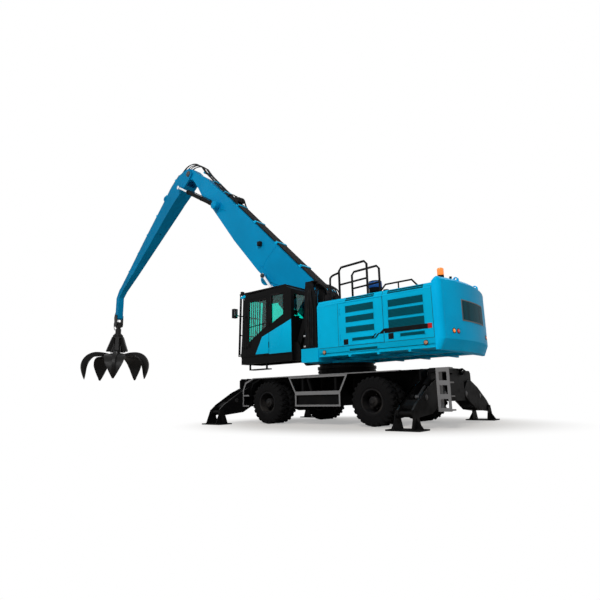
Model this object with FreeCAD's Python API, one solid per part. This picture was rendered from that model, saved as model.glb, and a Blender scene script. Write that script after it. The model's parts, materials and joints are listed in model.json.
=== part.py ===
"""Material handler on wheels with four stabilisers, a lifting cab and a five-tine grab.

Millimetres. The machine is laid out with the slewing axis at x = 0, the front at -X,
the left side at -Y and the ground at z = 0. On export it is moved along X, so that the
origin lies on the ground in the middle of the whole length.
"""
import FreeCAD, Part
import math
import os
from FreeCAD import Vector as V

# Undercarriage
WHEELBASE = 3320
TYRE_DIAMETER = 1130
TYRE_WIDTH = 300
TYRE_SHOULDER = 45
TWIN_GAP = 40
WIDTH_OVER_TYRES = 2960
RIM_RADIUS = 275
RIM_WALL = 18
RIM_FLANGE = 18
WHEEL_DISC = 30
HUB_RADIUS = 150
SPINDLE_RADIUS = 75
KINGPIN_Y = 690
KNUCKLE_RADIUS = 85
KNUCKLE_HEIGHT = 340
FORK_PLATE = 50
AXLE_WIDTH = 230
AXLE_HEIGHT = 170
BEAM_WIDTH = 960
BEAM_BOTTOM = 655
BEAM_TOP = 1290
BEAM_FRONT = -3560
BEAM_REAR = 3060
BEAM_WALL = 30
DECK_WIDTH = 2700
DECK_TOP = 1250
DECK_PLATE = 25
DECK_FRONT = -2350
DECK_REAR = 2330
ACCESS_HOLE = 60
TIE_DOWN_BORE = 60
TIE_DOWN_PLATE = 40
TIE_DOWN_INSET = 140
TIE_DOWN_REACH = 60
TIE_DOWN_DROP = 65
CARRIER_REACH = 150
CARRIER_HEIGHT = 90
CARRIER_LAP = 40
LADDER_OUT = DECK_WIDTH / 2 + 50
LADDER_PLATE = 15
LADDER_DEPTH = 290
LADDER_WIDTH = 220
LADDER_BOTTOM = 345
LADDER_TREAD = 30
GUARD_FRAME = 45
SIDE_TANK_IN = 560
SIDE_TANK_BOTTOM = 470
SIDE_TANK_TOP = 800
SIDE_TANK_WALL = 20
DRAIN_RADIUS = 20
STEP_PLATE = 30
STEP_WIDTH = 330
STEP_TREAD = 40

# Stabilisers
STABILISER_FRONT_X = -2980
STABILISER_REAR_X = 2850
ARM_PIN_Y = 620
ARM_PIN_Z = 700
ARM_PIN_RADIUS = 45
ARM_PLATE = 40
POD_HALF = 140
POD_PLATE = 45
POD_REACH = 1150
POD_BOTTOM = 540
FOOT_PIN_Y = 2120
FOOT_PIN_Z = 330
FOOT_LENGTH = 750
FOOT_WIDTH = 450
FOOT_PLATE = 30
FOOT_GUSSET = 25
JACK_PIN_Y = 720
JACK_PIN_Z = 1165
JACK_EYE_Y = 1560
JACK_EYE_Z = 640
JACK_BORE = 50
JACK_WALL = 18
JACK_PIN_RADIUS = 32
JACK_BARREL_SHARE = 0.58
JACK_PISTON_SHARE = 0.45

# Slewing upper structure
RING_RADIUS = 810
RING_HEIGHT = 275
UPPER_BOTTOM = BEAM_TOP + RING_HEIGHT
UPPER_WIDTH = 2800
PLATFORM_TOP = 1720
PLATFORM_PLATE = 40
FRAME_BEAM_Y = 460
FRAME_BEAM_WIDTH = 90
DECK_BLOCK_FRONT = -467
DECK_BLOCK_TOP = 1926
DECK_RECESS = 90
HOOD_FRONT = 96
HOOD_TOP = 3112
HOOD_CREASE = 2980
HOOD_CHAMFER = 75
HOOD_WALL = 30
SKIRT_TOP = 1892
SKIRT_INSET = 40
WEIGHT_FRONT = 3262
WEIGHT_SIDE_REAR = 3430
WEIGHT_REAR = 3650
WEIGHT_BOTTOM = 1630
WEIGHT_TOP_FRONT = 3116
WEIGHT_TOP_REAR = 3225
WEIGHT_CORNER = 110
WEIGHT_BOW_EDGE = 30
WEIGHT_BEVEL = 120
WEIGHT_BEVEL_HEIGHT = 230
WEIGHT_TOP_BEVEL = 60
CHANNEL_HALF = 500
CHANNEL_REAR = 1010
TANK_FRONT = -1000
TANK_TOP = 2480
TANK_GAP = 90
FILLER_BORE = 45
FILLER_NECK = 62
FILLER_HEIGHT = 40
DOOR_FRONT = 790
DOOR_REAR = 2040
DOOR_BOTTOM = 1900
DOOR_TOP = 2970
DOOR_PLATE = 35
DOOR_GAP = 6
ENGINE_SIZE = (1200, 650, 760)
ENGINE_X = 1750
HINGE_RADIUS = 15
HINGE_PIN = 6
HINGE_HEIGHT = 55
HOOD_HINGES = (2120, 2760)
CAB_HINGES = (2150, 2720, 3300)
RAIL_TUBE = 24
RAIL_INSET = 110
RAIL_IN = 700
RAIL_TOP = 3850
LIFT_EYE_BORE = 50
LIFT_EYE_X = 3510
LIFT_EYE_Y = 600
LIFT_EYE_PLATE = 40
LIFT_EYE_RISE = 38

# Cab and its lift
CAB_OUT = 1400
CAB_IN = 520
CAB_FLOOR = 1867
CAB_BASE = 1655
CAB_WALL = 55
CAB_OUTLINE = [(-2800, CAB_FLOOR), (-2660, 3705), (-1010, 3750), (-800, 3640), (-800, CAB_FLOOR)]
CAB_BASE_FRONT = -2793
CAB_BASE_REAR = -560
CAB_DOOR_FRONT = -2560
CAB_DOOR_REAR = -1650
CAB_DOOR_TOP = 3560
CAB_DOOR_PLATE = 40
GLASS = 10
WINDOW_SIDE = [(-1560, 2720), (-1560, 3560), (-1090, 3560), (-1080, 2950)]
WINDOW_RIGHT = [(-2600, 2280), (-2520, 3560), (-1100, 3560), (-1080, 2900), (-1640, 2600)]
WINDOW_DOOR = [(-2480, 2260), (-2480, 3480), (-1740, 3480), (-1740, 2680)]
MAST_FRONT = -430
MAST_REAR = -20
MAST_TOP = 3720
MAST_PLATE = 50
MAST_OUT = 1290
MAST_IN = 650
UPPER_PIN = (-290, 3180)
PARALLEL_OFFSET = (130, -330)
CAB_ARM_DROP = (-420, -1120)
CAB_ARM_BAR = 60
CAB_ARM_PIN = 40
CAB_PIN = 35
CAB_ARM_DEPTH = 150
CAB_JACK_BASE = (-150, 2010)
CAB_JACK_RADIUS = 360
CAB_JACK_Y = -970
CAB_JACK_BORE = 42
CAB_JACK_WALL = 12
CAB_JACK_ROD = 28
CAB_JACK_PIN = 28

# Boom, stick and their cylinders
BOOM_HALF = 290
BOOM_HEAD_HALF = 200
BOOM_WALL = 16
BOOM_FOOT = (-220, 2400)
BOOM_TIP = (-7256, 9699)
FOOT_BRACKET = 60
HOSE_RADIUS = 20
HOSE_RISE = 36
HOSE_CLAMP_HALF = 225
HOSE_CLAMP_LENGTH = 80
HOSE_CLAMP_HEIGHT = 64
HOSE_ROWS = (-190, -135, -80, -25, 30, 85, 140, 195)
HOSE_CLAMPS = (1150, 2450, 3850, 5250, 6500)
BOOM_LOW = [(-150, -190), (100, -260), (1500, -340), (3830, -374), (5590, -262), (7800, 9), (8640, 29),
            (9750, 205)]
BOOM_HIGH = [(9790, 500), (9000, 649), (7040, 730), (1000, 715), (250, 470), (-170, 180)]
BOOM_DROP = 0.0254
BOOM_PIN = 70
BOOM_CAVITY = [(420, -260), (1500, -355), (3830, -445), (5590, -370), (7800, -160), (8350, -150),
               (8350, 440),
               (7040, 520), (1000, 655), (420, 510)]
LIFT_PIN = (-850, 1950)
LIFT_EYE = (-2840, 4556)
LIFT_Y = 400
LIFT_BORE = 62
LIFT_WALL = 16
LIFT_LUG = 22
LIFT_ROD = 50
EYE_SWELL = 1.12
EYE_WIDTH = 0.9
CYLINDER_PIN = 45
STICK_KNEE = (-12430, 5690)
STICK_BACK = [(-150, -180), (-180, 150), (60, 330), (407, 500), (1106, 535), (1748, 445), (3709, 300),
              (5656, 110)]
STICK_BELLY = [(5368, -210), (1300, -190), (647, -240), (200, -240)]
STICK_TIP = (-12600, 4450)
STICK_CHEEK = 60
STICK_GAP = 6
STICK_WALL = 16
STICK_CAVITY = [(680, -215), (1300, -172), (5368, -192), (6200, -170), (6200, 62), (5656, 92), (3709, 280),
                (1748, 425),
                (1106, 515), (680, 505)]
NOSE_HALF = 120
STICK_PIN = (-5299, 7701)
STICK_EYE = (-7668, 9174)
STICK_BORE = 62
STICK_ROD = 45

# Grab
LINK_PLATE = 40
LINK_DROP = 420
LINK_PIN_RADIUS = 45
LINK_CROSS = 80
SWAY_PIN = 40
SWAY_EYE = 60
SWAY_ROOM = 115
YOKE_LENGTH = 400
HEAD_TOP = STICK_TIP[1] - LINK_DROP - YOKE_LENGTH
TINES = 5
TINE_TURN = 39
TINE_PIN_RADIUS_POS = 380
TINE_PIN_DROP = 930
TINE_REACH = 1470
TINE_DROP = 1080
TINE_WIDTH = 860
TINE_LUG_HALF = 60
TINE_PIN = 32
TINE_SHELL = 36
TINE_RIB_HALF = 62
TINE_CLOSE = 52

FIT = 0.3
GAP = 6

# Derived places
WHEEL_RADIUS = TYRE_DIAMETER / 2
FRONT_AXLE_X = -WHEELBASE / 2
REAR_AXLE_X = WHEELBASE / 2
TYRE_OUTER = WIDTH_OVER_TYRES / 2
TYRE_INNER = TYRE_OUTER - 2 * TYRE_WIDTH - TWIN_GAP
TINE_PIN_Z = HEAD_TOP - TINE_PIN_DROP
LOWER_PIN = (UPPER_PIN[0] + PARALLEL_OFFSET[0], UPPER_PIN[1] + PARALLEL_OFFSET[1])
CAB_PIN_UPPER = (UPPER_PIN[0] + CAB_ARM_DROP[0], UPPER_PIN[1] + CAB_ARM_DROP[1])
CAB_PIN_LOWER = (LOWER_PIN[0] + CAB_ARM_DROP[0], LOWER_PIN[1] + CAB_ARM_DROP[1])
CAB_ARM_LENGTH = math.hypot(*CAB_ARM_DROP)
CAB_JACK_EYE = tuple(UPPER_PIN[i] + CAB_ARM_DROP[i] * CAB_JACK_RADIUS / CAB_ARM_LENGTH for i in (0, 1))
SHIFT_X = -(STICK_TIP[0] - TINE_REACH + WEIGHT_REAR) / 2

SIDES = {"left": -1, "right": 1}
CORNERS = {
    "front_left": (STABILISER_FRONT_X, -1),
    "front_right": (STABILISER_FRONT_X, 1),
    "rear_left": (STABILISER_REAR_X, -1),
    "rear_right": (STABILISER_REAR_X, 1),
}
WHEELS = {
    "front_left": (FRONT_AXLE_X, -1),
    "front_right": (FRONT_AXLE_X, 1),
    "rear_left": (REAR_AXLE_X, -1),
    "rear_right": (REAR_AXLE_X, 1),
}


# Shape helpers
def box(x0, x1, y0, y1, z0, z1):
    low = V(min(x0, x1), min(y0, y1), min(z0, z1))
    return Part.makeBox(abs(x1 - x0), abs(y1 - y0), abs(z1 - z0), low)


def prism(points, direction):
    wire = Part.makePolygon(points + points[:1])
    return Part.Face(wire).extrude(direction)


def side_plate(outline, y0, y1):
    """A plate in the side view: outline in (x, z), from y0 to y1."""
    return prism([V(x, y0, z) for x, z in outline], V(0, y1 - y0, 0))


def cross_plate(outline, x0, x1):
    """A plate in the front view: outline in (y, z), from x0 to x1."""
    return prism([V(x0, y, z) for y, z in outline], V(x1 - x0, 0, 0))


def flat_plate(outline, z0, z1):
    """A plate in the plan: outline in (x, y), from z0 to z1."""
    return prism([V(x, y, z0) for x, y in outline], V(0, 0, z1 - z0))


def bar(start, end, radius):
    """A round bar between two points."""
    return Part.makeCylinder(radius, (end - start).Length, start, end - start)


def pin_y(place, radius, y0, y1):
    """A round pin along Y at (x, z)."""
    return bar(V(place[0], min(y0, y1), place[1]), V(place[0], max(y0, y1), place[1]), radius)


def tube_path(points, radius):
    """A bent tube as straight runs with round corners."""
    runs = [bar(a, b, radius) for a, b in zip(points, points[1:])]
    corners = [Part.makeSphere(radius, p) for p in points[1:-1]]
    return join(runs + corners)


def join(shapes):
    whole = shapes[0]
    if len(shapes) > 1:
        whole = whole.fuse(shapes[1:])
    return whole.removeSplitter()


def group(shapes):
    """The pieces of one node, each a solid of its own."""
    return Part.makeCompound(shapes)


def turned(profile, start, direction):
    """A body of revolution: profile in (radius, distance along the axis)."""
    axis = direction.normalize()
    side = V(1, 0, 0) if abs(axis.x) < 0.5 else V(0, 0, 1)
    points = [start + side * r + axis * h for r, h in profile]
    wire = Part.makePolygon(points + points[:1])
    return Part.Face(wire).revolve(start, axis, 360)


def along(start, end, distance, offset=0):
    """The (x, z) point at a distance from start towards end, moved to its upper side."""
    length = math.hypot(end[0] - start[0], end[1] - start[1])
    ux = (end[0] - start[0]) / length
    uz = (end[1] - start[1]) / length
    return (start[0] + ux * distance + uz * offset, start[1] + uz * distance - ux * offset)



# Chassis
def chassis_frame():
    """A box beam with the deck plates and the four stabiliser pods against its sides."""
    outline = [
        (BEAM_FRONT, BEAM_TOP - 530),
        (BEAM_FRONT, BEAM_TOP - 350),
        (-2900, BEAM_TOP),
        (BEAM_REAR, BEAM_TOP),
        (BEAM_REAR, POD_BOTTOM),
        (STABILISER_REAR_X - POD_HALF - 120, POD_BOTTOM),
        (STABILISER_REAR_X - POD_HALF - 240, BEAM_BOTTOM),
        (STABILISER_FRONT_X + POD_HALF + 240, BEAM_BOTTOM),
        (STABILISER_FRONT_X + POD_HALF + 120, POD_BOTTOM),
        (STABILISER_FRONT_X - POD_HALF, POD_BOTTOM),
    ]
    half = BEAM_WIDTH / 2
    beam = side_plate(outline, -half, half)
    cavity = box(-2600, BEAM_REAR - BEAM_WALL, BEAM_WALL - half, half - BEAM_WALL,
                 BEAM_BOTTOM + BEAM_WALL, BEAM_TOP - BEAM_WALL)
    hatches = [Part.makeCylinder(ACCESS_HOLE, BEAM_WALL * 3, V(x, 0, BEAM_BOTTOM - BEAM_WALL))
               for x in (FRONT_AXLE_X + 600, REAR_AXLE_X - 600)]
    carrier = box(BEAM_REAR - 1, BEAM_REAR + CARRIER_REACH, 10 - LADDER_OUT, CARRIER_LAP - half,
                  DECK_TOP - CARRIER_HEIGHT, DECK_TOP)
    lugs = [tie_down(side) for side in (-1, 1)]
    solids = [join([beam.cut([cavity] + hatches), carrier] + lugs)]
    for side in (-1, 1):
        solids.append(box(DECK_FRONT, DECK_REAR, side * half, side * DECK_WIDTH / 2, DECK_TOP - DECK_PLATE,
                          DECK_TOP))
    for x, side in CORNERS.values():
        solids.append(stabiliser_pod(x, side))
    return group(solids)


def tie_down(side):
    """A bored lug on the beam's rear face."""
    lug = [
        (BEAM_REAR - 1, BEAM_TOP - 160),
        (BEAM_REAR - 1, BEAM_TOP),
        (BEAM_REAR + TIE_DOWN_REACH, BEAM_TOP + 10),
        (BEAM_REAR + TIE_DOWN_REACH + 70, BEAM_TOP - 50),
        (BEAM_REAR + TIE_DOWN_REACH, BEAM_TOP - 150),
    ]
    outer = side * (BEAM_WIDTH / 2 - TIE_DOWN_INSET)
    inner = outer - side * TIE_DOWN_PLATE
    place = (BEAM_REAR + TIE_DOWN_REACH, BEAM_TOP - TIE_DOWN_DROP)
    return side_plate(lug, inner, outer).cut(pin_y(place, TIE_DOWN_BORE / 2, inner - side, outer + side))


def stabiliser_pod(x, side):
    """Two plates with the arm's pin and the jack's pin between them."""
    half = BEAM_WIDTH / 2
    pod = [
        (half, POD_BOTTOM),
        (half, BEAM_TOP - 30),
        (POD_REACH - 70, BEAM_TOP - 30),
        (POD_REACH, BEAM_TOP - 90),
        (POD_REACH, BEAM_TOP - 280),
        (ARM_PIN_Y + 130, POD_BOTTOM),
    ]
    pod = [(side * y, z) for y, z in pod]
    plates = [cross_plate(pod, x + inner, x + inner + POD_PLATE)
              for inner in (-POD_HALF, POD_HALF - POD_PLATE)]
    reach = POD_HALF + ARM_PLATE + GAP
    arm_pin = bar(V(x - reach, side * ARM_PIN_Y, ARM_PIN_Z), V(x + reach, side * ARM_PIN_Y, ARM_PIN_Z),
                  ARM_PIN_RADIUS)
    jack_pin = bar(V(x - POD_HALF, side * JACK_PIN_Y, JACK_PIN_Z),
                   V(x + POD_HALF, side * JACK_PIN_Y, JACK_PIN_Z),
                   JACK_PIN_RADIUS)
    return join(plates + [arm_pin, jack_pin])


def slew_ring():
    lower = turned([(RING_RADIUS - 190, 0), (RING_RADIUS - 20, 0), (RING_RADIUS - 20, 120),
                    (RING_RADIUS, 130),
                    (RING_RADIUS, RING_HEIGHT - 70), (RING_RADIUS - 60, RING_HEIGHT - 60),
                    (RING_RADIUS - 60, RING_HEIGHT - FIT), (RING_RADIUS - 190, RING_HEIGHT - FIT)],
                   V(0, 0, BEAM_TOP), V(0, 0, 1))
    bolts = []
    for i in range(24):
        angle = math.radians(i * 15 + 7.5)
        place = V((RING_RADIUS - 28) * math.cos(angle), (RING_RADIUS - 28) * math.sin(angle), BEAM_TOP + 60)
        bolts.append(bar(place, place + V(22 * math.cos(angle), 22 * math.sin(angle), 0), 24))
    return join([lower] + bolts)


def axles():
    centre = WHEEL_RADIUS
    low = centre - AXLE_HEIGHT / 2
    high = centre + AXLE_HEIGHT / 2
    pieces = []
    for x, reach in ((FRONT_AXLE_X, KINGPIN_Y - 60), (REAR_AXLE_X, TYRE_INNER - 50)):
        beam = box(x - AXLE_WIDTH / 2, x + AXLE_WIDTH / 2, -reach, reach, low, high)
        bulge = turned([(0, -230), (150, -230), (250, -110), (250, 110), (150, 230), (0, 230)],
                       V(x, 0, centre), V(0, 1, 0))
        bulge = bulge.cut(box(x - 300, x + 300, -300, 300, BEAM_BOTTOM, BEAM_BOTTOM + 300))
        saddle = box(x - 190, x + 190, -250, 250, high, BEAM_BOTTOM)
        parts = [beam, bulge, saddle]
        for side in (-1, 1):
            if x == FRONT_AXLE_X:
                inner = side * (KINGPIN_Y - 190)
                outer = side * (KINGPIN_Y + 80)
                half = KNUCKLE_HEIGHT / 2
                parts.append(box(x - 95, x + 95, inner, outer, centre + half, centre + half + FORK_PLATE))
                parts.append(box(x - 95, x + 95, inner, outer, centre - half - FORK_PLATE, centre - half))
                parts.append(box(x - 95, x + 95, inner, side * (KINGPIN_Y - 110),
                                 centre - half - FORK_PLATE, centre + half + FORK_PLATE))
            else:
                start = V(x, side * (TYRE_INNER - 60), centre)
                parts.append(bar(start, start + V(0, side * 30, 0), HUB_RADIUS + 50))
                parts.append(bar(start, V(x, side * (TYRE_OUTER - TYRE_WIDTH), centre), SPINDLE_RADIUS))
        axle = join(parts)
        if x == FRONT_AXLE_X:
            axle = axle.cut(front_post_room(x))
        pieces.append(axle)
    return group(pieces)


def front_post_room(x):
    """Room for both steering posts at one axle."""
    half = KNUCKLE_HEIGHT / 2
    return [Part.makeCylinder(KNUCKLE_RADIUS + 2 * GAP, 2 * half,
                              V(x, side * KINGPIN_Y, WHEEL_RADIUS - half))
            for side in (-1, 1)]


def knuckle(side):
    half = KNUCKLE_HEIGHT / 2 - FIT
    post = Part.makeCylinder(KNUCKLE_RADIUS, 2 * half,
                             V(FRONT_AXLE_X, side * KINGPIN_Y, WHEEL_RADIUS - half))
    start = V(FRONT_AXLE_X, side * KINGPIN_Y, WHEEL_RADIUS)
    flange_at = V(FRONT_AXLE_X, side * (TYRE_INNER - 60), WHEEL_RADIUS)
    flange = bar(flange_at, flange_at + V(0, side * 30, 0), HUB_RADIUS + 20)
    spindle = bar(start, V(FRONT_AXLE_X, side * (TYRE_OUTER - TYRE_WIDTH), WHEEL_RADIUS), SPINDLE_RADIUS)
    return join([post, flange, spindle])


def tyre_pair(x, side):
    r = WHEEL_RADIUS
    s = TYRE_SHOULDER
    w = TYRE_WIDTH
    profile = [(RIM_RADIUS, 28), (RIM_RADIUS + 60, 8), (RIM_RADIUS + 150, 0), (r - s, 12), (r, s + 14),
               (r, w - s - 14), (r - s, w - 12), (RIM_RADIUS + 150, w), (RIM_RADIUS + 60, w - 8),
               (RIM_RADIUS, w - 28)]
    pair = []
    for inner in (TYRE_INNER, TYRE_INNER + w + TWIN_GAP):
        start = V(x, side * inner, r)
        pair.append(turned(profile, start, V(0, side, 0)))
    return group(pair)


def rim_pair(x, side):
    """Both rims, the disc between them and the hub with its bore, as one wheel."""
    w = TYRE_WIDTH
    span = 2 * w + TWIN_GAP
    disc = w - 30
    r = RIM_RADIUS - FIT
    edge = RIM_FLANGE
    inside = [(SPINDLE_RADIUS + FIT, 0), (HUB_RADIUS, 0), (HUB_RADIUS, disc), (r - RIM_WALL, disc),
              (r - RIM_WALL, 12)]
    near = [(r + edge, 12), (r + edge, 21), (r, 27), (r, w - 27), (r + edge, w - 21), (r + edge, w - 12),
            (r - 8, w - 5)]
    far = [(radius, span - at) for radius, at in reversed(near)]
    face = [(r - RIM_WALL, span - 12), (r - RIM_WALL - 20, disc + WHEEL_DISC + 60),
            (HUB_RADIUS + 50, disc + WHEEL_DISC),
            (HUB_RADIUS - 20, disc + WHEEL_DISC + 40), (HUB_RADIUS - 40, span - 70), (70, span - 50),
            (0, span - 50),
            (0, w + TWIN_GAP + FIT), (SPINDLE_RADIUS + FIT, w + TWIN_GAP + FIT)]
    profile = inside + near + far + face
    return turned(profile, V(x, side * TYRE_INNER, WHEEL_RADIUS), V(0, side, 0))


def chassis_guards():
    """Side boxes with their frames, the rear ladder and the front steps."""
    solids = []
    for side in (-1, 1):
        solids += side_box(side) + front_steps(side)
    return group(solids + rear_ladder())


def side_box(side):
    """The framed opening below the deck's edge with the tank behind it."""
    y_out = DECK_WIDTH / 2
    y_in = y_out - GUARD_FRAME
    under = DECK_TOP - DECK_PLATE
    outline = [(-990, under), (-755, 790), (-755, 455), (697, 455), (697, 790), (930, under)]
    upper = [(-925, DECK_TOP - 70), (-735, 835), (677, 835), (860, DECK_TOP - 70)]
    lower = [(-710, 500), (652, 500), (652, 745), (-710, 745)]
    holes = [side_plate(hole, side * (y_in - 1), side * (y_out + 1)) for hole in (upper, lower)]
    face = side_plate(outline, side * y_in, side * y_out).cut(holes)
    wall = SIDE_TANK_WALL
    tank = box(-700, 640, side * SIDE_TANK_IN, side * y_in, SIDE_TANK_BOTTOM, SIDE_TANK_TOP)
    room = box(-700 + wall, 640 - wall, side * (SIDE_TANK_IN + wall), side * (y_in - wall),
               SIDE_TANK_BOTTOM + wall, SIDE_TANK_TOP - wall)
    drain = Part.makeCylinder(DRAIN_RADIUS, 2 * wall,
                              V(0, side * (SIDE_TANK_IN + y_in) / 2, SIDE_TANK_BOTTOM - wall / 2))
    solids = [face, tank.cut([room, drain])]
    for x in (-560, 500):
        solids.append(box(x, x + 60, side * SIDE_TANK_IN, side * y_in, SIDE_TANK_TOP, under))
        solids.append(box(x, x + 60, side * BEAM_WIDTH / 2, side * SIDE_TANK_IN, 700, 780))
    brace = [(-420, under), (-260, SIDE_TANK_TOP), (-200, SIDE_TANK_TOP), (-360, under)]
    solids.append(side_plate(brace, side * (y_in - 60), side * y_in))
    return solids


def front_steps(side):
    """Two stringers below the deck's front edge with two treads between them."""
    y_out = DECK_WIDTH / 2
    step = [
        (DECK_FRONT, DECK_TOP), (-2670, 1130), (-2760, 915), (-2760, 455), (-2500, 455), (-2500, 495),
        (-2720, 495),
        (-2720, 745), (-2500, 745), (-2500, 785), (-2720, 785), (-2720, 905), (-2630, 1095),
        (DECK_FRONT, DECK_TOP - 40),
    ]
    inner = y_out - STEP_WIDTH
    solids = [side_plate(step, side * y, side * (y + STEP_PLATE)) for y in (y_out - STEP_PLATE, inner)]
    for z in (455, 745):
        solids.append(box(-2760, -2670, side * (inner + STEP_PLATE), side * (y_out - STEP_PLATE), z,
                          z + STEP_TREAD))
    return solids


def rear_ladder():
    """Four treads between an upright with cut windows and a plain one."""
    x0 = BEAM_REAR + CARRIER_REACH
    x1 = x0 + LADDER_DEPTH
    y0 = -LADDER_OUT
    y1 = y0 + LADDER_PLATE
    y2 = y0 + LADDER_WIDTH
    windows = [box(x0 + 60, x1 - 60, y0 - 1, y1 + 1, z, z + 180) for z in (420, 700, 980)]
    solids = [box(x0, x1, y0, y1, LADDER_BOTTOM, DECK_TOP).cut(windows)]
    solids.append(box(x0, x0 + STEP_TREAD, y1, y2, LADDER_BOTTOM, DECK_TOP))
    for z in (360, 640, 920, DECK_TOP - LADDER_TREAD):
        solids.append(box(x0 + STEP_TREAD, x1, y1, y2, z, z + LADDER_TREAD))
    return solids


# Stabilisers
def stabiliser_arm(x, side):
    outline = [(ARM_PIN_Y - 110, ARM_PIN_Z - 20), (ARM_PIN_Y - 60, ARM_PIN_Z + 100), (760, 1000),
               (1010, 1020),
               (1440, 850), (2030, 520), (FOOT_PIN_Y + 70, FOOT_PIN_Z + 60),
               (FOOT_PIN_Y + 70, FOOT_PIN_Z - 50),
               (FOOT_PIN_Y - 30, FOOT_PIN_Z - 95), (1300, 300), (ARM_PIN_Y + 60, ARM_PIN_Z - 110)]
    outline = [(side * y, z) for y, z in outline]
    outer = POD_HALF + GAP + ARM_PLATE
    pieces = []
    for start in (-outer, POD_HALF + GAP):
        pieces.append(cross_plate(outline, x + start, x + start + ARM_PLATE))
    web = [(1330, 305), (1980, 252), (1980, 290), (1330, 345)]
    pieces.append(cross_plate([(side * y, z) for y, z in web], x - POD_HALF - GAP, x + POD_HALF + GAP))
    nose = [(1800, 600), (2005, 485), (2005, 430), (1800, 540)]
    pieces.append(cross_plate([(side * y, z) for y, z in nose], x - POD_HALF - GAP, x + POD_HALF + GAP))
    clear = JACK_BORE + JACK_WALL + GAP
    boss = POD_HALF + GAP - clear
    for start in (-POD_HALF - GAP, clear):
        at = V(x + start, side * JACK_EYE_Y, JACK_EYE_Z)
        pieces.append(bar(at, at + V(boss, 0, 0), ARM_PIN_RADIUS + 20))
    arm = join(pieces)
    bores = [(ARM_PIN_Y, ARM_PIN_Z), (FOOT_PIN_Y, FOOT_PIN_Z)]
    for y, z in bores:
        arm = arm.cut(bar(V(x - outer - 1, side * y, z), V(x + outer + 1, side * y, z),
                          ARM_PIN_RADIUS + FIT))
    return arm


def stabiliser_foot(x, side):
    y = side * FOOT_PIN_Y
    outer = POD_HALF + GAP + ARM_PLATE + GAP
    gusset = [(y - FOOT_WIDTH / 2 + 20, FOOT_PLATE), (y - 60, FOOT_PIN_Z + 65), (y + 60, FOOT_PIN_Z + 65),
              (y + FOOT_WIDTH / 2 - 20, FOOT_PLATE)]
    base = box(x - FOOT_LENGTH / 2, x + FOOT_LENGTH / 2, y - FOOT_WIDTH / 2, y + FOOT_WIDTH / 2, 0,
               FOOT_PLATE)
    pieces = [base, bar(V(x - outer, y, FOOT_PIN_Z), V(x + outer, y, FOOT_PIN_Z), ARM_PIN_RADIUS)]
    for start in (-outer - FOOT_GUSSET, outer):
        pieces.append(cross_plate(gusset, x + start, x + start + FOOT_GUSSET))
        rib = [(x + start * 1.05, FOOT_PLATE), (x + start, FOOT_PIN_Z - 60),
               (x + math.copysign(FOOT_LENGTH / 2 - 15, start), FOOT_PLATE)]
        pieces.append(side_plate(rib, y - 12, y + 12))
    return join(pieces)


def jack_axis(x, side):
    return V(x, side * JACK_PIN_Y, JACK_PIN_Z), V(x, side * JACK_EYE_Y, JACK_EYE_Z)


def stabiliser_barrel(x, side):
    base, eye = jack_axis(x, side)
    return barrel(base, eye, JACK_BORE, JACK_WALL, V(1, 0, 0), JACK_PIN_RADIUS, JACK_BARREL_SHARE)


def stabiliser_rod(x, side):
    base, eye = jack_axis(x, side)
    return rod(base, eye, JACK_BORE, JACK_BORE * 0.7, V(1, 0, 0), JACK_PISTON_SHARE)


def barrel(base, eye, bore, wall, pin_axis, pin_radius, share):
    """A cylinder barrel: a bored tube with a cross-bored eye at its base."""
    axis = (eye - base).normalize()
    length = (eye - base).Length * share
    outer = bore + wall
    reach = pin_axis * (outer * EYE_WIDTH)
    body = bar(base + axis * wall, base + axis * length, outer)
    head = bar(base - reach, base + reach, outer * EYE_SWELL)
    inside = bar(base + axis * (outer * EYE_SWELL + wall), base + axis * (length + wall), bore)
    pin_hole = bar(base - reach * 2, base + reach * 2, pin_radius + FIT)
    return join([body, head]).cut([inside, pin_hole])


def rod(base, eye, bore, radius, pin_axis, share):
    """A piston rod with its piston inside the barrel and an open eye at the end."""
    axis = (eye - base).normalize()
    start = base + axis * ((eye - base).Length * share)
    reach = pin_axis * (bore * EYE_WIDTH)
    piston = bar(start, start + axis * bore, bore - FIT)
    shaft = bar(start, eye - axis * radius * 1.2, radius)
    ring = bar(eye - reach, eye + reach, radius * 1.6)
    return join([piston, shaft, ring])


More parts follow.
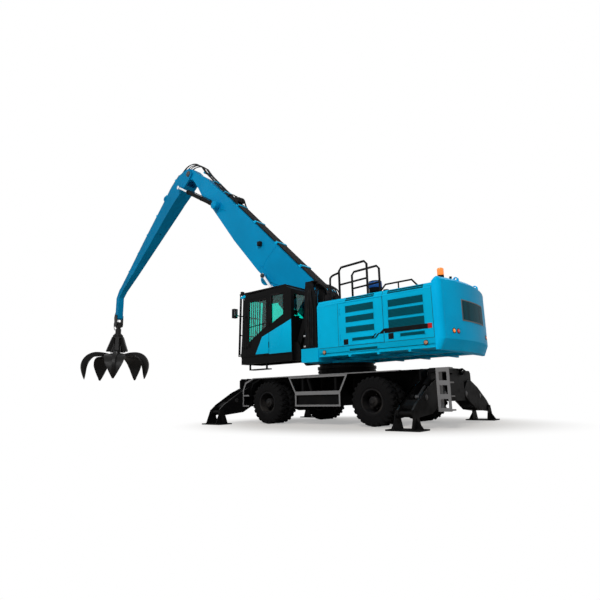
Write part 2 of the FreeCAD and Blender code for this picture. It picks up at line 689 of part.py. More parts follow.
# Upper structure
def upper_frame():
    half = UPPER_WIDTH / 2 - SKIRT_INSET
    plate = box(DECK_BLOCK_FRONT, WEIGHT_FRONT - FIT, -half, half, PLATFORM_TOP - PLATFORM_PLATE,
                PLATFORM_TOP)
    centre_half = CAB_IN - GAP
    centre = box(-1180, DECK_BLOCK_FRONT, -centre_half, centre_half, PLATFORM_TOP - PLATFORM_PLATE,
                 PLATFORM_TOP)
    pieces = [plate, centre]
    for side in (-1, 1):
        y = side * FRAME_BEAM_Y
        web = [(-1180, PLATFORM_TOP - 30), (-1060, UPPER_BOTTOM), (WEIGHT_FRONT - FIT, UPPER_BOTTOM + 60),
               (WEIGHT_FRONT - FIT, PLATFORM_TOP - 30)]
        pieces.append(side_plate(web, y - FRAME_BEAM_WIDTH / 2, y + FRAME_BEAM_WIDTH / 2))
    for x in (-400, 1000, 1800, 2600):
        pieces.append(box(x, x + 60, -half, half, UPPER_BOTTOM + 70, PLATFORM_TOP - 30))
    pieces.append(Part.makeCylinder(RING_RADIUS - 20, 60, V(0, 0, UPPER_BOTTOM)))
    foot_in = BOOM_HALF + GAP
    for side in (-1, 1):
        bracket = [(-640, PLATFORM_TOP - 1), (-480, 2250), (-380, 2560), (-60, 2560), (40, 2300),
                   (420, PLATFORM_TOP - 1)]
        pieces.append(side_plate(bracket, side * foot_in, side * (foot_in + FOOT_BRACKET)))
        lug = [(-1130, PLATFORM_TOP - 1), (-960, 2050), (-740, 2050), (-655, PLATFORM_TOP - 1)]
        for y in (foot_in, centre_half - LIFT_LUG):
            pieces.append(side_plate(lug, side * y, side * (y + LIFT_LUG)))
        pieces.append(pin_y(LIFT_PIN, CYLINDER_PIN, side * foot_in, side * centre_half))
    block = box(DECK_BLOCK_FRONT, HOOD_FRONT - FIT, -UPPER_WIDTH / 2, -FRAME_BEAM_Y - FRAME_BEAM_WIDTH,
                UPPER_BOTTOM + 5, DECK_BLOCK_TOP)
    recess = box(DECK_BLOCK_FRONT - 1, DECK_BLOCK_FRONT + DECK_RECESS, -MAST_OUT + MAST_PLATE,
                 -MAST_IN - MAST_PLATE,
                 PLATFORM_TOP, DECK_BLOCK_TOP + 1)
    pieces.append(block.cut(recess))
    frame = join(pieces)
    bore = pin_y(BOOM_FOOT, BOOM_PIN, -BOOM_HALF - 200, BOOM_HALF + 200)
    return frame.cut(bore)


def hood_section(top, crease, bottom):
    half = UPPER_WIDTH / 2
    right = [(half - HOOD_CHAMFER, top), (half, crease), (half, SKIRT_TOP), (half - SKIRT_INSET, bottom)]
    return right + [(-y, z) for y, z in reversed(right)]


def engine_hood():
    """The housing over the engine, hollow, with a channel for the boom's foot, and the tank in front."""
    wall = HOOD_WALL
    half = UPPER_WIDTH / 2
    outer = cross_plate(hood_section(HOOD_TOP, HOOD_CREASE, PLATFORM_TOP), HOOD_FRONT, WEIGHT_FRONT - FIT)
    low = PLATFORM_TOP + wall
    high = HOOD_TOP - HOOD_CHAMFER
    rooms = [box(CHANNEL_REAR + wall, WEIGHT_FRONT - wall, wall - half, half - wall, low, high)]
    for side in (-1, 1):
        rooms.append(box(HOOD_FRONT + wall, CHANNEL_REAR + wall + 1, side * (CHANNEL_HALF + wall),
                         side * (half - wall),
                         low, high))
    channel = box(HOOD_FRONT - 1, CHANNEL_REAR, -CHANNEL_HALF, CHANNEL_HALF, PLATFORM_TOP - 1, HOOD_TOP + 1)
    doorway = box(DOOR_FRONT, DOOR_REAR, -half - 1, wall - half + 1, DOOR_BOTTOM, DOOR_TOP)
    rooms_for_leaf, knuckles = fixed_hinges(HOOD_HINGES, (DOOR_FRONT, -half))
    hood = outer.cut(rooms + [channel, doorway] + rooms_for_leaf)
    return group([join([hood] + knuckles), front_tank()])


def front_tank():
    """The tank beside the boom's foot, with its filler neck."""
    wall = HOOD_WALL
    inner = CHANNEL_HALF + TANK_GAP
    outer = UPPER_WIDTH / 2
    place = V((TANK_FRONT + HOOD_FRONT) / 2, (inner + outer) / 2, TANK_TOP)
    tank = box(TANK_FRONT, HOOD_FRONT, inner, outer, PLATFORM_TOP, TANK_TOP)
    neck = Part.makeCylinder(FILLER_NECK, FILLER_HEIGHT, place)
    room = box(TANK_FRONT + wall, HOOD_FRONT - wall, inner + wall, outer - wall, PLATFORM_TOP + wall,
               TANK_TOP - wall)
    filler = Part.makeCylinder(FILLER_BORE, FILLER_HEIGHT + 2 * wall, place - V(0, 0, 2 * wall))
    return join([tank, neck]).cut([room, filler])


def fixed_hinges(heights, place):
    """Rooms for the leaf's knuckles, and the fixed knuckles with their pins, at (x, y)."""
    rooms = []
    knuckles = []
    for z in heights:
        low = z - HINGE_HEIGHT / 2
        rooms.append(Part.makeCylinder(HINGE_RADIUS + GAP, HINGE_HEIGHT, V(place[0], place[1], low)))
        for start in (low - HINGE_HEIGHT, low + HINGE_HEIGHT):
            knuckles.append(Part.makeCylinder(HINGE_RADIUS, HINGE_HEIGHT, V(place[0], place[1], start)))
        knuckles.append(Part.makeCylinder(HINGE_PIN, 3 * HINGE_HEIGHT,
                                          V(place[0], place[1], low - HINGE_HEIGHT)))
    return rooms, knuckles


def hinged_leaf(leaf, heights, place):
    """A leaf with bored knuckles, cut free of the fixed ones."""
    rooms = []
    knuckles = []
    for z in heights:
        low = z - HINGE_HEIGHT / 2
        for start in (low - HINGE_HEIGHT - FIT, low + HINGE_HEIGHT - FIT):
            rooms.append(Part.makeCylinder(HINGE_RADIUS + GAP, HINGE_HEIGHT + 2 * FIT,
                                           V(place[0], place[1], start)))
        knuckles.append(Part.makeCylinder(HINGE_RADIUS, HINGE_HEIGHT - 2 * FIT,
                                          V(place[0], place[1], low + FIT)))
    bores = [Part.makeCylinder(HINGE_PIN + FIT, HINGE_HEIGHT, V(place[0], place[1], z - HINGE_HEIGHT / 2))
             for z in heights]
    return join([leaf.cut(rooms)] + knuckles).cut(bores)


def hood_door():
    y = -UPPER_WIDTH / 2
    door = box(DOOR_FRONT + FIT, DOOR_REAR - DOOR_GAP, y, y + DOOR_PLATE, DOOR_BOTTOM + DOOR_GAP,
               DOOR_TOP - DOOR_GAP)
    return hinged_leaf(door, HOOD_HINGES, (DOOR_FRONT, y))


def engine_block():
    length, width, height = ENGINE_SIZE
    block = box(ENGINE_X - length / 2, ENGINE_X + length / 2, -width / 2, width / 2,
                PLATFORM_TOP + HOOD_WALL, PLATFORM_TOP + HOOD_WALL + height)
    return block


def weight_plan(inset, z):
    """The counterweight's outline in the plan, with its back moved in by an inset."""
    half = UPPER_WIDTH / 2
    side = V(WEIGHT_SIDE_REAR - WEIGHT_CORNER - inset / 2, -half, z)
    corner = V(WEIGHT_SIDE_REAR - WEIGHT_CORNER * 0.18 - inset * 0.7, WEIGHT_CORNER * 0.4 - half, z)
    bow = V(WEIGHT_SIDE_REAR + WEIGHT_BOW_EDGE - inset, WEIGHT_CORNER + 40 - half, z)
    back = V(WEIGHT_REAR - inset, 0, z)
    start = V(WEIGHT_FRONT, -half, z)
    side_far, corner_far, bow_far, start_far = [V(p.x, -p.y, z) for p in (side, corner, bow, start)]
    return Part.Wire([
        Part.LineSegment(start, side).toShape(),
        Part.Arc(side, corner, bow).toShape(),
        Part.Arc(bow, back, bow_far).toShape(),
        Part.Arc(bow_far, corner_far, side_far).toShape(),
        Part.LineSegment(side_far, start_far).toShape(),
        Part.LineSegment(start_far, start).toShape(),
    ])


def counterweight():
    """A cast block with a bowed back, rounded upright corners and bevelled edges below and above."""
    half = UPPER_WIDTH / 2
    sections = [
        weight_plan(WEIGHT_BEVEL, WEIGHT_BOTTOM),
        weight_plan(0, WEIGHT_BOTTOM + WEIGHT_BEVEL_HEIGHT),
        weight_plan(0, WEIGHT_TOP_REAR - WEIGHT_TOP_BEVEL),
        weight_plan(WEIGHT_TOP_BEVEL, WEIGHT_TOP_REAR),
    ]
    block = Part.makeLoft(sections, True, True)
    slope = [
        (WEIGHT_FRONT - 1, WEIGHT_TOP_FRONT),
        (WEIGHT_SIDE_REAR - 60, WEIGHT_TOP_REAR - 1),
        (WEIGHT_SIDE_REAR - 60, WEIGHT_TOP_REAR + 1),
        (WEIGHT_FRONT - 1, WEIGHT_TOP_REAR + 1),
    ]
    block = block.cut(side_plate(slope, -half - 1, half + 1))
    eyes = []
    for y in (-LIFT_EYE_Y, LIFT_EYE_Y):
        eye = [(dx + LIFT_EYE_X, WEIGHT_TOP_REAR + dz)
               for dx, dz in ((-70, -40), (-60, 50), (-20, 85), (20, 85), (60, 50), (70, -40))]
        plate = side_plate(eye, y - LIFT_EYE_PLATE / 2, y + LIFT_EYE_PLATE / 2)
        place = (LIFT_EYE_X, WEIGHT_TOP_REAR + LIFT_EYE_RISE)
        eyes.append(plate.cut(pin_y(place, LIFT_EYE_BORE / 2, y - LIFT_EYE_PLATE, y + LIFT_EYE_PLATE)))
    return join([block] + eyes)


def roof_rails():
    """Guard rails, hand rail, intake, reservoir and lamps on the roof of the housing."""
    solids = []
    top = HOOD_TOP
    rail_y = RAIL_INSET - UPPER_WIDTH / 2
    for y in (rail_y, -RAIL_IN):
        x0 = 760
        x1 = 1590
        hoop = tube_path([V(x0, y, top), V(x0, y, RAIL_TOP), V(x0 + 70, y, RAIL_TOP + 80),
                          V(x1 - 70, y, RAIL_TOP + 110),
                          V(x1, y, RAIL_TOP + 30), V(x1, y, top)], RAIL_TUBE)
        mid = bar(V(x0, y, 3480), V(x1, y, 3520), RAIL_TUBE * 0.8)
        solids.append(join([hoop, mid]))
    under = box(HOOD_FRONT, WEIGHT_FRONT, -UPPER_WIDTH / 2, 0, PLATFORM_TOP, top)
    y = rail_y + 40
    low = tube_path([V(1900, y, top), V(2060, y, top + 165), V(2740, y, top + 165), V(2880, y, top)], 20)
    solids.append(join([low, bar(V(2400, y, top), V(2400, y, top + 165), 16)]).cut(under))
    intake = [Part.makeCylinder(110, 260, V(1240, -330, top)),
              Part.makeCylinder(170, 300, V(1240, -330, top + 240))]
    solids.append(join(intake))
    reservoir = [Part.makeCylinder(110, 330, V(1180, 330, top)),
                 Part.makeCylinder(80, 120, V(1180, 330, top + 320))]
    solids.append(join(reservoir))
    solids.append(beacon().cut(counterweight()))
    return group(solids)


def beacon():
    """A lamp on its stalk at the counterweight's front edge: (radius, height, rise) for each part."""
    x = WEIGHT_FRONT + 68
    y = 400 - UPPER_WIDTH / 2
    z = WEIGHT_TOP_FRONT + 40
    return join([Part.makeCylinder(r, h, V(x, y, z + rise))
                 for r, h, rise in ((22, 130, 0), (52, 30, 120), (68, 150, 150))])


# Cab
def cab_windows():
    """Window openings of the side, the right, the front and the rear."""
    left = -CAB_OUT
    right = -CAB_IN
    return [
        side_plate(WINDOW_SIDE, left - 1, left + CAB_WALL + 1),
        side_plate(WINDOW_RIGHT, right - CAB_WALL - 1, right + 1),
        box(-2900, -2550, left + 90, right - 90, 2060, 3600),
        box(-900, -700, left + 130, right - 130, 2850, 3520),
    ]


def cab_shell():
    xs = CAB_OUTLINE
    outer = side_plate(xs, -CAB_OUT, -CAB_IN)
    w = CAB_WALL
    inner_line = [(xs[0][0] + w, xs[0][1] + w), (xs[1][0] + w, xs[1][1] - w), (xs[2][0] - 20, xs[2][1] - w),
                  (xs[3][0] - w, xs[3][1] - 25), (xs[4][0] - w, xs[4][1] + w)]
    inner = side_plate(inner_line, -CAB_OUT + w, -CAB_IN - w)
    doorway = box(CAB_DOOR_FRONT, CAB_DOOR_REAR, -CAB_OUT - 1, -CAB_OUT + w + 1, CAB_FLOOR + 40,
                  CAB_DOOR_TOP)
    rooms, knuckles = fixed_hinges(CAB_HINGES, (CAB_DOOR_REAR, -CAB_OUT))
    shell = outer.cut([inner, doorway] + cab_windows() + rooms)
    base = box(CAB_BASE_FRONT, CAB_BASE_REAR - 240, -CAB_OUT + 20, -CAB_IN - 20, CAB_BASE, CAB_FLOOR)
    base = base.cut(box(CAB_BASE_FRONT + 60, CAB_BASE_REAR - 300, -CAB_OUT + 80, -CAB_IN - 80,
                        CAB_BASE - 1, CAB_FLOOR - 1))
    step = [box(x, x + 40, -CAB_OUT + 20, -CAB_OUT + 60, CAB_BASE - 150, CAB_BASE) for x in (-2460, -1790)]
    step.append(box(-2460, -1750, -CAB_OUT + 20, -CAB_OUT + 220, CAB_BASE - 180, CAB_BASE - 150))
    pieces = [shell, base] + step + knuckles
    lug = [(-810, CAB_FLOOR - 100), (-810, CAB_PIN_UPPER[1] + 100),
           (CAB_PIN_UPPER[0] + 30, CAB_PIN_UPPER[1] + 100),
           (CAB_PIN_UPPER[0] + 90, CAB_PIN_UPPER[1]), (CAB_PIN_LOWER[0] + 80, CAB_PIN_LOWER[1] + 60),
           (CAB_PIN_LOWER[0] + 80, CAB_PIN_LOWER[1] - 60), (CAB_PIN_LOWER[0], CAB_BASE), (-810, CAB_BASE)]
    for y in (-MAST_OUT, -MAST_IN - MAST_PLATE):
        pieces.append(side_plate(lug, y, y + MAST_PLATE))
    for place in (CAB_PIN_UPPER, CAB_PIN_LOWER):
        pieces.append(pin_y(place, CAB_PIN, -MAST_OUT + 1, -MAST_IN - 1))
    return join(pieces)


def cab_door():
    y = -CAB_OUT
    g = DOOR_GAP
    door = box(CAB_DOOR_FRONT + g, CAB_DOOR_REAR - FIT, y, y + CAB_DOOR_PLATE, CAB_FLOOR + 40 + g,
               CAB_DOOR_TOP - g)
    door = door.cut(side_plate(WINDOW_DOOR, y - 1, y + CAB_DOOR_PLATE + 1))
    return hinged_leaf(door, CAB_HINGES, (CAB_DOOR_REAR, y))


def cab_door_glass():
    y = -CAB_OUT + CAB_DOOR_PLATE / 2
    return side_plate(WINDOW_DOOR, y, y + GLASS)


def cab_glass():
    left = -CAB_OUT + CAB_WALL / 2
    right = -CAB_IN - CAB_WALL / 2
    slope = (CAB_OUTLINE[1][0] - CAB_OUTLINE[0][0]) / (CAB_OUTLINE[1][1] - CAB_OUTLINE[0][1])
    low = CAB_OUTLINE[0][0] + slope * (2060 - CAB_FLOOR) + 22
    high = CAB_OUTLINE[0][0] + slope * (3600 - CAB_FLOOR) + 22
    front = [(low, 2060), (high, 3600), (high + GLASS, 3600), (low + GLASS, 2060)]
    panes = [
        side_plate(WINDOW_SIDE, left, left + GLASS),
        side_plate(WINDOW_RIGHT, right, right - GLASS),
        side_plate(front, -CAB_OUT + 90, -CAB_IN - 90),
        box(-830, -830 + GLASS, -CAB_OUT + 130, -CAB_IN - 130, 2850, 3520),
    ]
    return group(panes)


def cab_seat():
    floor = CAB_FLOOR + CAB_WALL
    mid = -(CAB_OUT + CAB_IN) / 2
    pedestal = box(-1650, -1250, mid - 180, mid + 180, floor, floor + 330)
    cushion = box(-1780, -1200, mid - 250, mid + 250, floor + 330, floor + 450)
    back = side_plate([(-1290, floor + 400), (-1200, floor + 400), (-1050, floor + 1120),
                       (-1130, floor + 1130)],
                      mid - 240, mid + 240)
    consoles = [box(-1800, -1300, mid + s * 260 - 45, mid + s * 260 + 45, floor + 300, floor + 620)
                for s in (-1, 1)]
    return join([pedestal, cushion, back] + consoles)


def cab_guard():
    """The roof plate and the barred guard in front of the cab."""
    roof = box(-2870, -1010, -CAB_OUT, -CAB_IN, 3752, 3795)
    posts = []
    for y in (-CAB_OUT + 15, -CAB_IN - 15):
        posts.append(bar(V(-2905, y, 1900), V(-2850, y, 3775), 16))
    bars = [bar(V(-2905, -CAB_OUT + 60 + i * 87, 1960), V(-2852, -CAB_OUT + 60 + i * 87, 3700), 9)
            for i in range(10)]
    cross = [bar(V(-2905 + (z - 1900) * 0.0293, -CAB_OUT + 15, z),
                 V(-2905 + (z - 1900) * 0.0293, -CAB_IN - 15, z), 12)
             for z in (1960, 2540, 3120, 3700)]
    arms = [box(-2905, -2790, y - 12, y + 12, z, z + 30) for y in (-CAB_OUT + 40, -CAB_IN - 40)
            for z in (1900,)]
    return join([roof] + posts + bars + cross + arms).cut(side_plate(CAB_OUTLINE, -CAB_OUT, -CAB_IN))


def mast():
    """Two upright plates on the deck that carry the cab's lift arms, with what joins them."""
    outline = [
        (MAST_FRONT, DECK_BLOCK_TOP + 64), (MAST_FRONT + 20, 3450), (MAST_FRONT + 60, MAST_TOP),
        (MAST_REAR - 120, MAST_TOP),
        (MAST_REAR - 20, 3300), (MAST_REAR, DECK_BLOCK_TOP), (MAST_FRONT + 20, DECK_BLOCK_TOP),
    ]
    y0 = -MAST_OUT + MAST_PLATE
    y1 = -MAST_IN - MAST_PLATE
    solids = [side_plate(outline, y, y + MAST_PLATE) for y in (-MAST_OUT, y1)]
    solids += [pin_y(place, CAB_ARM_PIN, y0, y1) for place in (UPPER_PIN, LOWER_PIN)]
    solids.append(box(MAST_FRONT + 70, MAST_REAR - 130, y0, y1, MAST_TOP - 60, MAST_TOP))
    solids.append(box(MAST_REAR - 50, MAST_REAR - 15, y0, y1, DECK_BLOCK_TOP, 2700))
    base_x, base_z = CAB_JACK_BASE
    lugs = [box(base_x - 60, base_x + 60, CAB_JACK_Y + s * 81 - 20, CAB_JACK_Y + s * 81 + 20,
                DECK_BLOCK_TOP, base_z + 60)
            for s in (-1, 1)]
    jack_pin = pin_y(CAB_JACK_BASE, CAB_JACK_PIN, CAB_JACK_Y - 100, CAB_JACK_Y + 100)
    solids.append(join(lugs + [jack_pin]))
    return solids


def cab_arm(start, end, cross_at, bore_start, bore_end):
    """One lift arm: two bars joined by a cross tube, bored at both ends."""
    half = CAB_ARM_DEPTH / 2
    length = math.hypot(end[0] - start[0], end[1] - start[1])
    outline = [along(start, end, -half, -half * 0.5), along(start, end, -half, half * 0.5),
               along(start, end, 0, half),
               along(start, end, length, half), along(start, end, length + half, half * 0.5),
               along(start, end, length + half, -half * 0.5), along(start, end, length, -half),
               along(start, end, 0, -half)]
    y_out = -MAST_OUT + MAST_PLATE + GAP
    y_in = -MAST_IN - MAST_PLATE - GAP
    bars = [side_plate(outline, y_out, y_out + CAB_ARM_BAR), side_plate(outline, y_in - CAB_ARM_BAR, y_in)]
    tube = pin_y(along(start, end, cross_at), 45, y_out + 1, y_in - 1)
    arm = join(bars + [tube])
    bores = [pin_y(start, bore_start + FIT, y_out - 1, y_in + 1),
             pin_y(end, bore_end + FIT, y_out - 1, y_in + 1)]
    return arm.cut(bores)


def cab_arm_upper():
    arm = cab_arm(UPPER_PIN, CAB_PIN_UPPER, CAB_JACK_RADIUS + 130, CAB_ARM_PIN, CAB_PIN)
    lug = [along(UPPER_PIN, CAB_PIN_UPPER, CAB_JACK_RADIUS - 40, -40),
           along(UPPER_PIN, CAB_PIN_UPPER, CAB_JACK_RADIUS - 40, 40),
           along(UPPER_PIN, CAB_PIN_UPPER, CAB_JACK_RADIUS + 130, 40),
           along(UPPER_PIN, CAB_PIN_UPPER, CAB_JACK_RADIUS + 130, -40)]
    lugs = [side_plate(lug, CAB_JACK_Y + s * 62 - 12, CAB_JACK_Y + s * 62 + 12) for s in (-1, 1)]
    return join([arm] + lugs)


def cab_arm_lower():
    return cab_arm(LOWER_PIN, CAB_PIN_LOWER, CAB_ARM_LENGTH * 0.82, CAB_ARM_PIN, CAB_PIN)


def cab_jack_axis():
    return V(CAB_JACK_BASE[0], CAB_JACK_Y, CAB_JACK_BASE[1]), V(CAB_JACK_EYE[0], CAB_JACK_Y,
                                                                CAB_JACK_EYE[1])


# Boom and stick
def boom_point(s, n):
    return along(BOOM_FOOT, BOOM_TIP, s, n)


def boom_outline():
    """Side outline of the boom, along the line from its foot pin to its tip pin."""
    length = math.hypot(BOOM_TIP[0] - BOOM_FOOT[0], BOOM_TIP[1] - BOOM_FOOT[1])
    head = [(length, -230), (length + 200, -110), (length + 200, 120), (length, 245)]
    low = [boom_point(s, n - s * BOOM_DROP) for s, n in BOOM_LOW]
    mid = [boom_point(s, n) for s, n in head]
    high = [boom_point(s, n - s * BOOM_DROP) for s, n in BOOM_HIGH]
    return low + mid + high


def boom_back(s, rise):
    """The (x, z) point at a rise above the boom's upper edge, between its second and third corner."""
    (far, far_n), (near, near_n) = BOOM_HIGH[2:4]
    share = (s - near) / (far - near)
    height = (near_n - near * BOOM_DROP) * (1 - share) + (far_n - far * BOOM_DROP) * share
    return boom_point(s, height + rise)


def boom_hoses():
    """The hoses along the boom's back, held all the way by clamps that stand on it."""
    solids = []
    first = HOSE_CLAMPS[0]
    last = HOSE_CLAMPS[-1]
    for y in HOSE_ROWS:
        x0, z0 = boom_back(first - HOSE_CLAMP_LENGTH, HOSE_RISE)
        x1, z1 = boom_back(last + HOSE_CLAMP_LENGTH, HOSE_RISE)
        solids.append(bar(V(x0, y, z0), V(x1, y, z1), HOSE_RADIUS))
    for s in HOSE_CLAMPS:
        near = s - HOSE_CLAMP_LENGTH / 2
        far = s + HOSE_CLAMP_LENGTH / 2
        block = [boom_back(near, 0), boom_back(far, 0), boom_back(far, HOSE_CLAMP_HEIGHT),
                 boom_back(near, HOSE_CLAMP_HEIGHT)]
        solids.append(side_plate(block, -HOSE_CLAMP_HALF, HOSE_CLAMP_HALF))
    return join(solids)


def boom_body():
    body = side_plate(boom_outline(), -BOOM_HALF, BOOM_HALF)
    length = math.hypot(BOOM_TIP[0] - BOOM_FOOT[0], BOOM_TIP[1] - BOOM_FOOT[1])
    taper_start = boom_point(length - 1750, 0)
    taper_end = boom_point(length - 1000, 0)
    for side in (-1, 1):
        wedge = [(taper_start, BOOM_HALF), (taper_end, BOOM_HEAD_HALF)]
        far = boom_point(length + 400, 0)
        nx = -(BOOM_TIP[1] - BOOM_FOOT[1]) / length
        nz = (BOOM_TIP[0] - BOOM_FOOT[0]) / length
        corners = [V(p[0] + nx * 900, side * y, p[1] + nz * 900) for p, y in
                   wedge + [(far, BOOM_HEAD_HALF), (far, BOOM_HALF + 50), (taper_start, BOOM_HALF + 50)]]
        body = body.cut(prism(corners, V(-nx * 1800, 0, -nz * 1800)))
    cavity_line = [boom_point(s, n) for s, n in BOOM_CAVITY]
    cavity = side_plate(cavity_line, BOOM_WALL - BOOM_HALF, BOOM_HALF - BOOM_WALL)
    hatch_at = boom_point(5000, -300)
    hatch = bar(V(hatch_at[0], 0, hatch_at[1]), V(boom_point(5000, -900)[0], 0, boom_point(5000, -900)[1]),
                ACCESS_HOLE)
    body = body.cut([cavity, hatch])
    foot_pin = pin_y(BOOM_FOOT, BOOM_PIN - FIT, -BOOM_HALF - GAP - FOOT_BRACKET,
                     BOOM_HALF + GAP + FOOT_BRACKET)
    tip_pin = pin_y(BOOM_TIP, BOOM_PIN, -BOOM_HEAD_HALF - STICK_GAP - STICK_CHEEK,
                    BOOM_HEAD_HALF + STICK_GAP + STICK_CHEEK)
    outer = LIFT_Y - LIFT_BORE - LIFT_WALL
    bosses = []
    for side in (-1, 1):
        bosses.append(pin_y(STICK_PIN, 190, side * (BOOM_HALF - 2), side * (outer - GAP + 2)))
        bosses.append(pin_y(STICK_PIN, CYLINDER_PIN, side * (BOOM_HALF - 2), side * (LIFT_Y + 110)))
        bosses.append(pin_y(LIFT_EYE, 120, side * (BOOM_HALF - 2), side * (BOOM_HALF + 25)))
    return join([body, foot_pin, tip_pin] + bosses)


def stick_point(s, n):
    return along(BOOM_TIP, STICK_KNEE, s, n)


def taper_sides(body, inset):
    """Narrows the stick's sides from its cheeks to its nose, moved inwards by an inset."""
    length = math.hypot(STICK_KNEE[0] - BOOM_TIP[0], STICK_KNEE[1] - BOOM_TIP[1])
    nx = -(STICK_KNEE[1] - BOOM_TIP[1]) / length
    nz = (STICK_KNEE[0] - BOOM_TIP[0]) / length
    wide = BOOM_HEAD_HALF + STICK_GAP + STICK_CHEEK - inset
    narrow = NOSE_HALF - inset
    start = stick_point(1500, 0)
    end = stick_point(length - 100, 0)
    far = stick_point(length + 1900, 0)
    for side in (-1, 1):
        places = [(start, wide), (end, narrow), (far, narrow), (far, wide + 50), (start, wide + 50)]
        corners = [V(p[0] + nx * 2200, side * y, p[1] + nz * 2200) for p, y in places]
        body = body.cut(prism(corners, V(-nx * 4400, 0, -nz * 4400)))
    return body


def stick():
    length = math.hypot(STICK_KNEE[0] - BOOM_TIP[0], STICK_KNEE[1] - BOOM_TIP[1])
    outer = STICK_BACK + [(length + 60, 60)]
    inner = [(length - 130, -190)] + STICK_BELLY
    tip_x, tip_z = STICK_TIP
    nose = [(tip_x - 125, tip_z + 900), (tip_x - 120, tip_z - 40), (tip_x - 60, tip_z - 100),
            (tip_x + 60, tip_z - 100),
            (tip_x + 120, tip_z - 40), (tip_x + 120, tip_z + 900)]
    line = [stick_point(s, n) for s, n in outer] + nose + [stick_point(s, n) for s, n in inner]
    cheek_out = BOOM_HEAD_HALF + STICK_GAP + STICK_CHEEK
    body = side_plate(line, -cheek_out, cheek_out)
    fork = [stick_point(s, n)
            for s, n in ((-400, -700), (-400, 900), (300, 900), (430, 250), (430, -100), (330, -700))]
    body = body.cut(side_plate(fork, -BOOM_HEAD_HALF - STICK_GAP, BOOM_HEAD_HALF + STICK_GAP))
    body = taper_sides(body, 0)
    cavity_line = [stick_point(s, n) for s, n in STICK_CAVITY]
    cavity = taper_sides(side_plate(cavity_line, STICK_WALL - cheek_out, cheek_out - STICK_WALL),
                         STICK_WALL)
    hatch_at = stick_point(3000, -100)
    hatch_end = stick_point(3000, -400)
    hatch = bar(V(hatch_at[0], 0, hatch_at[1]), V(hatch_end[0], 0, hatch_end[1]), ACCESS_HOLE / 2)
    bores = [pin_y(BOOM_TIP, BOOM_PIN + FIT, -cheek_out - 1, cheek_out + 1),
             pin_y(STICK_TIP, LINK_PIN_RADIUS + FIT, -cheek_out, cheek_out)]
    body = body.cut([cavity, hatch] + bores)
    bosses = [pin_y(STICK_EYE, 110, side * (cheek_out - 2), side * (cheek_out + 40)) for side in (-1, 1)]
    return join([body] + bosses)


def cylinder_pair(kind, start, end, bore, wall, radius, share):
    solids = []
    for side in (-1, 1):
        base = V(start[0], side * LIFT_Y, start[1])
        eye = V(end[0], side * LIFT_Y, end[1])
        if kind == "barrel":
            solids.append(barrel(base, eye, bore, wall, V(0, 1, 0), CYLINDER_PIN, share))
        else:
            solids.append(rod(base, eye, bore, radius, V(0, 1, 0), share))
    return group(solids)


# Grab
def grab_link():
    x, z = STICK_TIP
    low = z - LINK_DROP
    inner = NOSE_HALF + GAP
    outline = [
        (x - 85, z + 60), (x - 30, z + 110), (x + 30, z + 110), (x + 85, z + 60), (x + 90, low + 70),
        (x + 60, low - 20),
        (x - 60, low - 20), (x - 90, low + 70),
    ]
    plates = [side_plate(outline, side * inner, side * (inner + LINK_PLATE)) for side in (-1, 1)]
    pin = pin_y(STICK_TIP, LINK_PIN_RADIUS, -inner - LINK_PLATE, inner + LINK_PLATE)
    cross = box(x - 70, x + 70, -inner - 1, inner + 1, low + SWAY_ROOM, low + SWAY_ROOM + LINK_CROSS)
    hinge = bar(V(x - 70, 0, low), V(x + 70, 0, low), SWAY_PIN)
    cheeks = [box(a, a + 30, -90, 90, low - 60, low + SWAY_ROOM + 1) for a in (x - 100, x + 70)]
    return join(plates + [pin, cross, hinge] + cheeks)


def grab_yoke():
    x = STICK_TIP[0]
    top = STICK_TIP[1] - LINK_DROP
    eye = box(x - 64, x + 64, -75, 75, top - 130, top + SWAY_EYE)
    body = Part.makeCylinder(125, YOKE_LENGTH - 120, V(x, 0, HEAD_TOP + FIT))
    cap = Part.makeCylinder(165, 60, V(x, 0, HEAD_TOP + FIT))
    yoke = join([eye, body, cap])
    return yoke.cut(bar(V(x - 80, 0, top), V(x + 80, 0, top), SWAY_PIN + FIT))


def spin(shape, index):
    x = STICK_TIP[0]
    copy = shape.copy()
    copy.rotate(V(x, 0, 0), V(0, 0, 1), index * 360 / TINES + TINE_TURN)
    return copy


def grab_head():
    x = STICK_TIP[0]
    z = TINE_PIN_Z
    column = turned([(0, z - 60), (150, z - 60), (150, HEAD_TOP - 240), (210, HEAD_TOP - 160),
                     (210, HEAD_TOP), (0, HEAD_TOP)],
                    V(x, 0, 0), V(0, 0, 1))
    hub = Part.makeCylinder(290, 150, V(x, 0, z - 60))
    pieces = [column, hub]
    for i in range(TINES):
        r = TINE_PIN_RADIUS_POS
        lug = [(x + 200, z - 55), (x + r + 30, z - 55), (x + r + 60, z), (x + r + 30, z + 55),
               (x + 200, z + 85)]
        inner = TINE_LUG_HALF + GAP
        for side in (-1, 1):
            pieces.append(spin(side_plate(lug, side * inner, side * (inner + 32)), i))
        pieces.append(spin(pin_y((x + r, z), TINE_PIN, -inner - 32, inner + 32), i))
        guard = [(x + 100, HEAD_TOP - 20), (x + 250, HEAD_TOP - 90), (x + 470, z + 210),
                 (x + 450, z + 165), (x + 290, z + 165),
                 (x + 140, HEAD_TOP - 300)]
        pieces.append(spin(side_plate(guard, -75, 75), i))
    return join(pieces)


def curve(points):
    line = Part.BSplineCurve()
    line.interpolate(points)
    return line.toShape()


